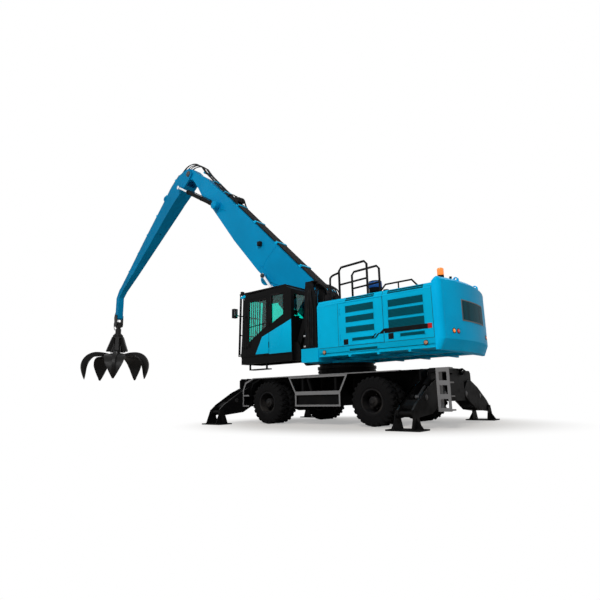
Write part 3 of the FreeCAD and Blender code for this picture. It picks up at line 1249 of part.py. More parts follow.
def grab_tine(index):
    """A bowed claw: a curved shell, pointed when seen from outside, with a rib along its back."""
    x = STICK_TIP[0]
    z = TINE_PIN_Z
    root = x + TINE_PIN_RADIUS_POS
    reach = x + TINE_REACH
    half = TINE_WIDTH / 2
    lug = TINE_LUG_HALF
    tip = (root + 920, z - TINE_DROP)
    back = [(root - 60, z + 60), (root + 330, z + 128), (root + 770, z + 60), (reach, z - 380),
            (reach - 40, z - 760), tip]
    front = [tip, (reach - 190, z - 700), (reach - 230, z - 400), (root + 640, z - 110),
             (root + 300, z - 40), (root - 60, z - 60)]
    centre = (root + 420, z - 620)
    skin = []
    for px, pz in front[1:]:
        away = math.hypot(px - centre[0], pz - centre[1])
        skin.append((px + (px - centre[0]) * TINE_SHELL / away, pz + (pz - centre[1]) * TINE_SHELL / away))
    rib_wire = Part.Wire([curve([V(p, -TINE_RIB_HALF, q) for p, q in back]),
                          curve([V(p, -TINE_RIB_HALF, q) for p, q in front]),
                          Part.LineSegment(V(front[-1][0], -TINE_RIB_HALF, front[-1][1]),
                                           V(back[0][0], -TINE_RIB_HALF, back[0][1])).toShape()])
    rib = Part.Face(rib_wire).extrude(V(0, 2 * TINE_RIB_HALF, 0))
    shell_wire = Part.Wire([curve([V(p, -half, q) for p, q in front]),
                            curve([V(p, -half, q) for p, q in [tip] + skin]),
                            Part.LineSegment(V(front[-1][0], -half, front[-1][1]),
                                             V(skin[-1][0], -half, skin[-1][1])).toShape()])
    shell = Part.Face(shell_wire).extrude(V(0, TINE_WIDTH, 0))
    plan = [(root - 70, lug), (root + 150, lug), (root + 330, half * 0.6), (root + 560, half),
            (reach + 50, half)]
    plan = plan + [(px, -py) for px, py in reversed(plan)]
    leaf = [(half, z + 200), (half, z - 150), (half * 0.84, z - 420), (half * 0.4, z - 820),
            (28, z - TINE_DROP - 10)]
    leaf = leaf + [(-py, pz) for py, pz in reversed(leaf)]
    claw = join([shell, rib]).common(flat_plate(plan, z - TINE_DROP - 20, z + 300))
    claw = claw.common(cross_plate(leaf, x, reach + 100))
    claw = claw.cut(pin_y((root, z), TINE_PIN + FIT, -lug - 1, lug + 1))
    return spin(claw, index)


def pieces():
    """Every sub-part, by the name of its node."""
    table = {
        "chassis_frame": chassis_frame(),
        "slew_ring": slew_ring(),
        "axles": axles(),
        "chassis_guards": chassis_guards(),
        "upper_frame": group([upper_frame()] + mast()),
        "engine_hood": engine_hood(),
        "hood_door": hood_door(),
        "engine_block": engine_block(),
        "counterweight": counterweight(),
        "roof_rails": roof_rails(),
        "cab_shell": cab_shell(),
        "cab_door": cab_door(),
        "cab_door_glass": cab_door_glass(),
        "cab_glass": cab_glass(),
        "cab_seat": cab_seat(),
        "cab_guard": cab_guard(),
        "cab_arm_upper": cab_arm_upper(),
        "cab_arm_lower": cab_arm_lower(),
        "cab_jack_barrel": barrel(*cab_jack_axis(), CAB_JACK_BORE, CAB_JACK_WALL, V(0, 1, 0), CAB_JACK_PIN,
                                  0.62),
        "cab_jack_rod": rod(*cab_jack_axis(), CAB_JACK_BORE, CAB_JACK_ROD, V(0, 1, 0), 0.42),
        "boom": group([boom_body(), boom_hoses()]),
        "stick": stick(),
        "boom_cylinder_barrels": cylinder_pair("barrel", LIFT_PIN, LIFT_EYE, LIFT_BORE, LIFT_WALL,
                                               LIFT_ROD, 0.62),
        "boom_cylinder_rods": cylinder_pair("rod", LIFT_PIN, LIFT_EYE, LIFT_BORE, LIFT_WALL, LIFT_ROD, 0.5),
        "stick_cylinder_barrels": cylinder_pair("barrel", STICK_PIN, STICK_EYE, STICK_BORE, LIFT_WALL,
                                                STICK_ROD, 0.74),
        "stick_cylinder_rods": cylinder_pair("rod", STICK_PIN, STICK_EYE, STICK_BORE, LIFT_WALL, STICK_ROD,
                                             0.55),
        "grab_link": grab_link(),
        "grab_yoke": grab_yoke(),
        "grab_head": grab_head(),
    }
    for name, side in SIDES.items():
        table["steering_knuckle_" + name] = knuckle(side)
    for name, (x, side) in WHEELS.items():
        table["tyres_" + name] = tyre_pair(x, side)
        table["rims_" + name] = rim_pair(x, side)
    for name, (x, side) in CORNERS.items():
        table["stabiliser_arm_" + name] = stabiliser_arm(x, side)
        table["stabiliser_foot_" + name] = stabiliser_foot(x, side)
        table["stabiliser_barrel_" + name] = stabiliser_barrel(x, side)
        table["stabiliser_rod_" + name] = stabiliser_rod(x, side)
    for index in range(TINES):
        table["grab_tine_" + str(index + 1)] = grab_tine(index)
    return table


def export():
    os.makedirs("parts", exist_ok=True)
    for name, shape in pieces().items():
        shape.translate(V(SHIFT_X, 0, 0))
        shape.exportStep("parts/" + name + ".step")


export()
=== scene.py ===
"""Dresses a wheeled material handler: paint, rubber, glass and steel, tyre treads, grilles,
rails, hoses, lamps and cab fittings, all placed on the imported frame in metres."""

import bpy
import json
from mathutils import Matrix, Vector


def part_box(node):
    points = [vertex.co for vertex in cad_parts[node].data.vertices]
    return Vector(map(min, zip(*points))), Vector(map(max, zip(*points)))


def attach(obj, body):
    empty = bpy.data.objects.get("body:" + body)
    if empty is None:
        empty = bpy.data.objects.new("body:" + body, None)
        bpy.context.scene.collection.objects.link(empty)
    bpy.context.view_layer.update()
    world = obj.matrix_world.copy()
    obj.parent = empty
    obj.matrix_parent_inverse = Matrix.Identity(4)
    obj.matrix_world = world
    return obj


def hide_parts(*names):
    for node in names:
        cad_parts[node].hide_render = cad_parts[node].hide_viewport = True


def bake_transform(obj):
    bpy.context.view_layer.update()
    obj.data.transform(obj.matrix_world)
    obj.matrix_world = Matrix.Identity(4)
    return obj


bl_info = {
    "name": "Material handler",
    "version": (1, 0, 0),
    "blender": (4, 5, 0),
    "location": "3D View > Sidebar > Handler",
    "description": "Builds the looks of a wheeled material handler on its frame",
    "category": "Object",
}

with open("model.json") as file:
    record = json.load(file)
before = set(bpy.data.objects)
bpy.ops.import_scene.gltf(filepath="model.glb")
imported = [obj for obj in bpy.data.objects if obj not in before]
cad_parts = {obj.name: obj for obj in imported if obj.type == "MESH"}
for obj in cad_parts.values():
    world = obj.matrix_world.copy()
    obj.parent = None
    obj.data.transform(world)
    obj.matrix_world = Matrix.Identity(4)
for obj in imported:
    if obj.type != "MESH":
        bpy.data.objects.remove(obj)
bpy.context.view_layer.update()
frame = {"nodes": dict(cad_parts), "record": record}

import json
import math

import bmesh
import bpy
from bpy.props import FloatProperty, FloatVectorProperty, IntProperty, PointerProperty
from mathutils import Matrix, Vector

MM = 0.001
AXIS_X = sum(c.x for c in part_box("slew_ring")) / 2
TYRE_LOW, TYRE_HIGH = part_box("tyres_rear_left")
WHEEL_RADIUS = (TYRE_HIGH.z - TYRE_LOW.z) / 2 / MM
TYRE_OUTER = -TYRE_LOW.y / MM
TYRE_WIDTH = 300
TWIN_GAP = 40
REAR_AXLE = ((TYRE_LOW.x + TYRE_HIGH.x) / 2 - AXIS_X) / MM
SIDES = {"left": -1, "right": 1}
WHEELS = {
    "front_left": (-REAR_AXLE, -1),
    "front_right": (-REAR_AXLE, 1),
    "rear_left": (REAR_AXLE, -1),
    "rear_right": (REAR_AXLE, 1),
}
STABILISERS = {
    "front_left": (-2980, -1),
    "front_right": (-2980, 1),
    "rear_left": (2850, -1),
    "rear_right": (2850, 1),
}
HOUSING_SIDE = 1400
SKIRT_TOP = 1892
ROOF = 3112
CREASE = 2980
BOOM_FOOT = (-220, 2400)
BOOM_TIP = (-7256, 9699)
LIFT_BASE = (-850, 1950)
LIFT_EYE = (-2840, 4556)
STICK_BASE = (-5299, 7701)
STICK_EYE = (-7668, 9174)
STICK_TAPER = 0.0295
BARREL_RADIUS = 80
CYLINDER_SIDE = 400
STICK_KNEE = (-12430, 5690)
STICK_TIP = (-12600, 4450)
CAB_LEFT = -1400
CAB_RIGHT = -520


# Places
def at(x, y, z):
    """A point given in millimetres from the slewing axis, in the frame's metres."""
    return Vector((AXIS_X + x * MM, y * MM, z * MM))


def along(start, end, distance, offset=0):
    """The (x, z) point at a distance from start towards end, moved to its upper side."""
    length = math.hypot(end[0] - start[0], end[1] - start[1])
    ux = (end[0] - start[0]) / length
    uz = (end[1] - start[1]) / length
    return (start[0] + ux * distance + uz * offset, start[1] + uz * distance - ux * offset)


def boom_point(distance, offset):
    return along(BOOM_FOOT, BOOM_TIP, distance, offset)


def stick_point(distance, offset):
    return along(BOOM_TIP, STICK_KNEE, distance, offset)


def rounded(points, samples=10):
    """A smooth line through points, as many short steps."""
    line = []
    ends = [points[0] * 2 - points[1]] + list(points) + [points[-1] * 2 - points[-2]]
    for a, b, c, d in zip(ends, ends[1:], ends[2:], ends[3:]):
        for step in range(samples):
            t = step / samples
            line.append(0.5 * (2 * b + (c - a) * t + (2 * a - 5 * b + 4 * c - d) * t ** 2
                               + (3 * b - a - 3 * c + d) * t ** 3))
    return line + [points[-1]]


# Shaders
class Value:
    """A shader socket that takes part in sums."""

    def __init__(self, finish, socket):
        self.finish = finish
        self.socket = socket

    def sum(self, operation, first, second):
        return self.finish.node("ShaderNodeMath", {"operation": operation}, {0: first, 1: second})

    def __add__(self, other):
        return self.sum("ADD", self, other)

    def __radd__(self, other):
        return self.sum("ADD", other, self)

    def __sub__(self, other):
        return self.sum("SUBTRACT", self, other)

    def __rsub__(self, other):
        return self.sum("SUBTRACT", other, self)

    def __mul__(self, other):
        return self.sum("MULTIPLY", self, other)

    def __rmul__(self, other):
        return self.sum("MULTIPLY", other, self)

    def __gt__(self, other):
        return self.sum("GREATER_THAN", self, other)

    def __lt__(self, other):
        return self.sum("LESS_THAN", self, other)

    def absolute(self):
        return self.sum("ABSOLUTE", self, 0)

    def clamped(self):
        return self.finish.node("ShaderNodeClamp", {}, {0: self})


class Finish:
    """One material: its principled shader and the nodes that feed it."""

    def __init__(self, name, colour, roughness, **constants):
        self.material = bpy.data.materials.new(name)
        self.material.use_nodes = True
        self.tree = self.material.node_tree
        self.shader = self.tree.nodes["Principled BSDF"]
        self.colour = colour
        self.set("Base Color", (*colour, 1))
        self.set("Roughness", roughness)
        for socket, value in constants.items():
            self.set(socket.replace("_", " ").title().replace("Ior", "IOR"), value)
        self.place = self.node("ShaderNodeTexCoord", output="Object")

    def set(self, socket, value):
        if isinstance(value, Value):
            self.tree.links.new(value.socket, self.shader.inputs[socket])
        else:
            self.shader.inputs[socket].default_value = value

    def node(self, kind, settings=None, values=None, output=0):
        made = self.tree.nodes.new(kind)
        for name, value in (settings or {}).items():
            if name == "stops":
                for element, (position, colour) in zip(made.color_ramp.elements, value):
                    element.position = position
                    element.color = (*colour, 1)
            else:
                setattr(made, name, value)
        for name, value in (values or {}).items():
            if isinstance(value, Value):
                self.tree.links.new(value.socket, made.inputs[name])
            else:
                made.inputs[name].default_value = value
        return Value(self, made.outputs[output])

    def noise(self, scale, detail=3, distortion=0):
        values = {"Vector": self.place, "Scale": scale, "Detail": detail, "Distortion": distortion}
        return self.node("ShaderNodeTexNoise", {}, values)

    def axis(self, name):
        return self.node("ShaderNodeSeparateXYZ", {}, {0: self.place}, name)

    def band(self, value, low, high, first=0.0, last=1.0):
        """Turns a value smoothly from first at low to last at high."""
        settings = {"interpolation_type": "SMOOTHSTEP"}
        values = {"Value": value, "From Min": low, "From Max": high, "To Min": first, "To Max": last}
        return self.node("ShaderNodeMapRange", settings, values)

    def mix(self, share, first, second):
        values = {0: share, 6: first, 7: second}
        for key in (6, 7):
            if not isinstance(values[key], Value):
                values[key] = (*values[key], 1)
        return self.node("ShaderNodeMix", {"data_type": "RGBA"}, values, 2)

    def bump(self, height, strength, distance):
        values = {"Height": height, "Strength": strength, "Distance": distance}
        self.set("Normal", self.node("ShaderNodeBump", {}, values))


def shade(colour, share):
    """A colour made darker or lighter by a share."""
    return tuple(min(1, c * share) for c in colour)


FINISHES = {}


def paint(name, colour, roughness, coat, dust, masks=()):
    """Sprayed paint: soft tone changes, road dust low down, worn patches and orange peel.
    masks are (colour, share of the surface as a function of the finish)."""
    finish = Finish(name, colour, roughness, coat_weight=coat, coat_roughness=0.2, specular_ior_level=0.04)
    tone = finish.mix(finish.band(finish.noise(0.7, 4), 0.35, 0.7), shade(colour, 0.9), shade(colour, 1.06))
    for other, share in masks:
        tone = finish.mix(share(finish), tone, other)
    height = finish.axis("Z")
    low = finish.band(height, 0.05, 1.3, 1.0, 0.0) * finish.band(finish.noise(3.5, 6), 0.42, 0.7)
    grime = finish.band(finish.noise(9, 6, 0.6), 0.55, 0.78)
    tone = finish.mix((low * dust).clamped(), tone, (0.16, 0.14, 0.12))
    tone = finish.mix(grime * (dust * 0.35), tone, shade(colour, 0.55))
    finish.set("Base Color", tone)
    finish.set("Roughness",
               (grime * 0.18 + low * 0.3 + finish.noise(24, 2) * 0.1 + (roughness - 0.05)).clamped())
    finish.bump(finish.noise(140, 2) * 0.6 + finish.noise(1.1, 1), 0.12, 0.004)
    FINISHES[name] = finish.material


def metal(name, colour, roughness, metallic, grain, wear):
    """Bare or cast metal: grain, darker pits and brighter worn patches."""
    finish = Finish(name, colour, roughness, metallic=metallic, specular_ior_level=0.2)
    pits = finish.noise(grain, 6)
    worn = finish.band(finish.noise(2.6, 5, 0.8), 0.5, 0.72)
    tone = finish.mix(finish.band(pits, 0.35, 0.65), shade(colour, 0.7), shade(colour, 1.25))
    tone = finish.mix(worn * wear, tone, shade(colour, 2.2))
    finish.set("Base Color", tone)
    finish.set("Roughness",
               (roughness + finish.noise(grain * 0.6, 3) * 0.2 - worn * (0.2 * wear) - 0.1).clamped())
    finish.bump(pits, 0.25, 0.003)
    FINISHES[name] = finish.material


def rubber(name, colour, roughness, grain, dust):
    """Moulded rubber with fine grain and patches of pale dust."""
    finish = Finish(name, colour, roughness, specular_ior_level=0.05)
    dusty = finish.band(finish.noise(5, 6, 0.4), 0.4, 0.75)
    finish.set("Base Color", finish.mix(dusty * dust, colour, (0.11, 0.1, 0.09)))
    finish.set("Roughness", (roughness + dusty * 0.12 - 0.05).clamped())
    finish.bump(finish.noise(grain, 4), 0.3, 0.002)
    FINISHES[name] = finish.material


def lamp_lens(name, colour, glow):
    """A moulded lens with fine ribs, faintly lit."""
    finish = Finish(name, colour, 0.12, coat_weight=0.6)
    rib = finish.node("ShaderNodeTexWave", {"bands_direction": "Z"},
                      {"Vector": finish.place, "Scale": 26.0}, 1)
    finish.set("Base Color", finish.mix(rib, shade(colour, 0.75), shade(colour, 1.2)))
    finish.set("Emission Color", (*colour, 1))
    finish.set("Emission Strength", glow)
    finish.bump(rib, 0.3, 0.002)
    FINISHES[name] = finish.material


def perforated(name, colour):
    """A punched sheet: dark holes in staggered rows over a deep teal plate."""
    finish = Finish(name, colour, 0.5, specular_ior_level=0.04)
    cells = finish.node("ShaderNodeTexVoronoi", {"feature": "F1"},
                        {"Vector": finish.place, "Scale": 46.0, "Randomness": 0.0})
    hole = finish.band(cells, 0.3, 0.42, 1.0, 0.0)
    finish.set("Base Color", finish.mix(hole, colour, shade(colour, 0.18)))
    finish.bump(1 - hole, 0.5, 0.003)
    FINISHES[name] = finish.material


def woven(name, colour):
    """Seat cloth: crossed threads with a little sheen."""
    finish = Finish(name, colour, 0.9, sheen_weight=0.3)
    threads = [finish.node("ShaderNodeTexWave", {"bands_direction": way},
                           {"Vector": finish.place, "Scale": 160.0}, 1)
               for way in ("X", "Y", "Z")]
    weave = threads[0] * threads[1] + threads[2] * 0.5
    finish.set("Base Color", finish.mix(weave.clamped(), shade(colour, 0.7), shade(colour, 1.6)))
    finish.bump(weave, 0.4, 0.002)
    FINISHES[name] = finish.material


def tinted(name, colour):
    """Green tinted glass, with faint random changes in tint and roughness."""
    finish = Finish(name, colour, 0.04, transmission_weight=1.0, ior=1.45)
    finish.set("Roughness", finish.band(finish.noise(6, 4), 0.5, 0.8, 0.02, 0.07))
    finish.set("Base Color", finish.mix(finish.band(finish.noise(2, 3), 0.4, 0.7), shade(colour, 0.9),
                                        colour))
    FINISHES[name] = finish.material


# Meshes
def new_object(name, data):
    """An object of the scene that holds the data."""
    made = bpy.data.objects.new(name, data)
    bpy.context.scene.collection.objects.link(made)
    return made


def mesh_object(name, mesh):
    """An object made of a finished bmesh."""
    data = bpy.data.meshes.new(name)
    mesh.to_mesh(data)
    mesh.free()
    return new_object(name, data)


class Shape:
    """Gathers the parts of one piece, in millimetres from the slewing axis."""

    def __init__(self):
        self.mesh = bmesh.new()

    def hull(self, low, high):
        """A closed block between two rings of points with equal counts."""
        rings = [[self.mesh.verts.new(p) for p in ring] for ring in (low, high)]
        count = len(low)
        for i in range(count):
            j = (i + 1) % count
            self.mesh.faces.new((rings[0][i], rings[0][j], rings[1][j], rings[1][i]))
        self.mesh.faces.new(rings[0][::-1])
        self.mesh.faces.new(rings[1])

    def side(self, outline, y0, y1):
        self.hull([at(x, y0, z) for x, z in outline], [at(x, y1, z) for x, z in outline])

    def front(self, outline, x0, x1):
        self.hull([at(x0, y, z) for y, z in outline], [at(x1, y, z) for y, z in outline])

    def plan(self, outline, z0, z1):
        self.hull([at(x, y, z0) for x, y in outline], [at(x, y, z1) for x, y in outline])

    def box(self, x0, x1, y0, y1, z0, z1):
        self.side([(x0, z0), (x1, z0), (x1, z1), (x0, z1)], y0, y1)

    def strip(self, points, width, y0, y1, closed=False):
        """A flat band of one width along points in the side view."""
        pairs = list(zip(points, points[1:])) + ([(points[-1], points[0])] if closed else [])
        for start, end in pairs:
            length = math.hypot(end[0] - start[0], end[1] - start[1])
            half = width / 2
            self.side([along(start, end, -half, -half), along(start, end, length + half, -half),
                       along(start, end, length + half, half), along(start, end, -half, half)], y0, y1)

    def tube(self, points, radius, sides=12):
        """A round tube along points given in metres, closed at both ends."""
        rings = []
        normal = None
        for i, point in enumerate(points):
            ahead = points[min(i + 1, len(points) - 1)] - points[max(i - 1, 0)]
            ahead.normalize()
            if normal is None:
                normal = ahead.orthogonal().normalized()
            normal = (normal - ahead * normal.dot(ahead)).normalized()
            other = ahead.cross(normal)
            rings.append([self.mesh.verts.new(point + (normal * math.cos(a) + other * math.sin(a))
                                              * radius * MM)
                          for a in (2 * math.pi * k / sides for k in range(sides))])
        for low, high in zip(rings, rings[1:]):
            for i in range(sides):
                j = (i + 1) % sides
                self.mesh.faces.new((low[i], low[j], high[j], high[i]))
        self.mesh.faces.new(rings[0][::-1])
        self.mesh.faces.new(rings[-1])

    def rod(self, start, end, radius, sides=16):
        self.tube([at(*start), at(*end)], radius, sides)

    def turned(self, profile, centre, axis, sides=64):
        """A ring or body turned about an axis: profile in (radius, distance along it)."""
        axis = Vector(axis).normalized()
        across = axis.orthogonal().normalized()
        other = axis.cross(across)
        middle = at(*centre)
        rings = []
        for k in range(sides):
            angle = 2 * math.pi * k / sides
            way = across * math.cos(angle) + other * math.sin(angle)
            rings.append([self.mesh.verts.new(middle + (way * r + axis * h) * MM) for r, h in profile])
        for k in range(sides):
            near = rings[k]
            far = rings[(k + 1) % sides]
            for i in range(len(profile)):
                j = (i + 1) % len(profile)
                self.mesh.faces.new((near[i], near[j], far[j], far[i]))

    def done(self, name, body, finish, bevel=0, smooth=35, replaces=(), bridge=None):
        """Makes the gathered parts a piece that rides on a body, or, given a bridge, a piece with its place
        baked in and no body.
        """
        bmesh.ops.remove_doubles(self.mesh, verts=self.mesh.verts, dist=1e-6)
        bmesh.ops.dissolve_degenerate(self.mesh, dist=1e-6, edges=self.mesh.edges)
        bmesh.ops.recalc_face_normals(self.mesh, faces=self.mesh.faces)
        piece = mesh_object(name, self.mesh)
        piece.data.materials.append(FINISHES[finish])
        if bevel:
            edge = piece.modifiers.new("Edges", "BEVEL")
            edge.width = bevel * MM
            edge.segments = 2
            edge.limit_method = "ANGLE"
            edge.angle_limit = math.radians(40)
            edge.harden_normals = False
        return settle(piece, body, smooth, replaces, bridge)


def settle(piece, body, smooth=35, replaces=(), bridge=None):
    """Turns a piece with modifiers into a plain mesh, smooths it and lets it ride, or with a bridge bakes its
    place in and leaves it without a body.
    """
    if piece.modifiers:
        bpy.context.view_layer.update()
        graph = bpy.context.evaluated_depsgraph_get()
        data = bpy.data.meshes.new_from_object(piece.evaluated_get(graph))
        old = piece.data
        piece.modifiers.clear()
        piece.data = data
        bpy.data.meshes.remove(old)
        data.name = piece.name
    piece.data.shade_smooth()
    piece.data.set_sharp_from_angle(angle=math.radians(smooth))
    if bridge:
        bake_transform(piece)
    else:
        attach(piece, body)
    if replaces:
        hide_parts(*replaces)
    return piece


# Repeats
def new_tree(name, inputs):
    """A geometry node tree with the piece's own mesh first and the named inputs after it."""
    tree = bpy.data.node_groups.new(name, "GeometryNodeTree")
    tree.interface.new_socket("Geometry", in_out="INPUT", socket_type="NodeSocketGeometry")
    for label, kind in inputs:
        tree.interface.new_socket(label, in_out="INPUT", socket_type=kind)
    tree.interface.new_socket("Geometry", in_out="OUTPUT", socket_type="NodeSocketGeometry")
    source = tree.nodes.new("NodeGroupInput")
    result = tree.nodes.new("NodeGroupOutput")
    return tree, source, result


def tree_end(tree, instances, source, result):
    """Realizes the instances and gives them the material of the tree's input."""
    real = tree.nodes.new("GeometryNodeRealizeInstances")
    coat = tree.nodes.new("GeometryNodeSetMaterial")
    tree.links.new(instances.outputs["Instances"], real.inputs[0])
    tree.links.new(real.outputs[0], coat.inputs["Geometry"])
    tree.links.new(source.outputs["Material"], coat.inputs["Material"])
    tree.links.new(coat.outputs[0], result.inputs[0])


def row_tree():
    """Repeats a mesh along a straight line."""
    inputs = [("Count", "NodeSocketInt"), ("Step", "NodeSocketVector"), ("Material", "NodeSocketMaterial")]
    tree, source, result = new_tree("Row", inputs)
    line = tree.nodes.new("GeometryNodeMeshLine")
    copies = tree.nodes.new("GeometryNodeInstanceOnPoints")
    tree.links.new(source.outputs["Count"], line.inputs["Count"])
    tree.links.new(source.outputs["Step"], line.inputs["Offset"])
    tree.links.new(line.outputs[0], copies.inputs["Points"])
    tree.links.new(source.outputs["Geometry"], copies.inputs["Instance"])
    tree_end(tree, copies, source, result)
    return tree


def ring_tree():
    """Repeats a mesh around an axis through the origin."""
    inputs = [("Count", "NodeSocketInt"), ("Turn", "NodeSocketVector"), ("Material", "NodeSocketMaterial")]
    tree, source, result = new_tree("Ring", inputs)
    points = tree.nodes.new("GeometryNodeMeshLine")
    points.inputs["Offset"].default_value = (0, 0, 0)
    index = tree.nodes.new("GeometryNodeInputIndex")
    turn = tree.nodes.new("ShaderNodeVectorMath")
    turn.operation = "SCALE"
    copies = tree.nodes.new("GeometryNodeInstanceOnPoints")
    tree.links.new(source.outputs["Count"], points.inputs["Count"])
    tree.links.new(source.outputs["Turn"], turn.inputs[0])
    tree.links.new(index.outputs[0], turn.inputs["Scale"])
    tree.links.new(points.outputs[0], copies.inputs["Points"])
    tree.links.new(source.outputs["Geometry"], copies.inputs["Instance"])
    tree.links.new(turn.outputs[0], copies.inputs["Rotation"])
    tree_end(tree, copies, source, result)
    return tree


TREES = {}


def repeated(shape, name, body, finish, count, step=None, turn=None, centre=None, replaces=(),
             smooth=35):
    """Repeats a shape: in a row by a step in millimetres, or around an axis through centre."""
    kind = "ring" if turn else "row"
    if kind not in TREES:
        TREES[kind] = ring_tree() if turn else row_tree()
    tree = TREES[kind]
    mesh = shape.mesh
    bmesh.ops.recalc_face_normals(mesh, faces=mesh.faces)
    if centre:
        bmesh.ops.translate(mesh, verts=mesh.verts, vec=-at(*centre))
    piece = mesh_object(name, mesh)
    nodes = piece.modifiers.new("Repeat", "NODES")
    nodes.node_group = tree
    values = {"Count": count, "Material": FINISHES[finish]}
    if turn:
        values["Turn"] = [t * 2 * math.pi / count for t in turn]
    else:
        values["Step"] = [s * MM for s in step]
    for item in tree.interface.items_tree:
        if item.in_out == "INPUT" and item.name in values:
            nodes[item.identifier] = values[item.name]
    made = settle(piece, body, smooth, replaces)
    if centre:
        made.data.transform(Matrix.Translation(at(*centre)))
    return made


def hexagon(shape, place, axis, radius, height):
    """A bolt head standing on a surface."""
    start = at(*place)
    way = Vector(axis).normalized()
    shape.tube([start, start + way * height * MM], radius, 6)
    shape.tube([start + way * height * MM * 0.9, start + way * height * MM * 1.5], radius * 0.5, 8)


# Sizes and colours
def colour_property(name, description, value):
    return FloatVectorProperty(name=name, description=description, default=value, subtype="COLOR",
                               size=3, min=0, max=1)


class HandlerColours(bpy.types.PropertyGroup):
    body: colour_property("Body paint", "Paint of the housing, boom and stick", (0.0, 0.5, 0.83))
    chassis: colour_property("Chassis paint", "Paint of the chassis, the cab frame and the mast",
                             (0.0042, 0.0043, 0.0047))
    # On the outer faces of the side frames and steps and on the deck's edge strips, this pale colour is a
    # painted highlight.
    edges: colour_property("Edge paint", "Pale paint on the ladder, the steps and the side frames",
                           (0.21, 0.21, 0.215))
    tyre: colour_property("Tyre rubber", "Tread and side walls", (0.006, 0.006, 0.0064))
    steel: colour_property("Grab steel", "Cast claws and their head", (0.006, 0.0058, 0.0058))
    glass: colour_property("Glass tint", "Tint of the cab's windows", (0.02, 0.8, 0.7))
    grille: colour_property("Grille", "Punched sheets of the housing", (0.0, 0.07, 0.1))
    beacon: colour_property("Beacon", "Lens of the beacon and the side lamps", (0.9, 0.22, 0.02))


class HandlerSizes(bpy.types.PropertyGroup):
    lugs: IntProperty(name="Tread lugs", description="Lugs in each row around a tyre", default=24, min=12,
                      max=40)
    lug_height: FloatProperty(name="Lug height", description="How far the lugs stand out of the tyre",
                              default=0.03, unit="LENGTH")
    hose: FloatProperty(name="Hose", description="Outside radius of the boom hoses", default=0.024,
                        unit="LENGTH")
    slat: FloatProperty(name="Slat pitch", description="Distance between grille slats", default=0.034,
                        unit="LENGTH")
    wheel_nuts: IntProperty(name="Wheel nuts", description="Nuts around each hub", default=10, min=6,
                            max=16)


class HandlerCamera(bpy.types.PropertyGroup):
    place: FloatVectorProperty(name="Place", description="Where the camera stands",
                               default=(12.617, -10.768, 0.704),
                               subtype="TRANSLATION", unit="LENGTH", size=3)
    heading: FloatProperty(name="Heading", description="Turn to the left from +Y",
                           default=math.radians(40.08),
                           unit="ROTATION")
    pitch: FloatProperty(name="Pitch", description="Tilt upwards", default=math.radians(11.78),
                         unit="ROTATION")
    roll: FloatProperty(name="Roll", description="Turn about the view's axis", default=math.radians(-1.155),
                        unit="ROTATION")
    lens: FloatProperty(name="Lens", description="Focal length in millimetres", default=27.83)


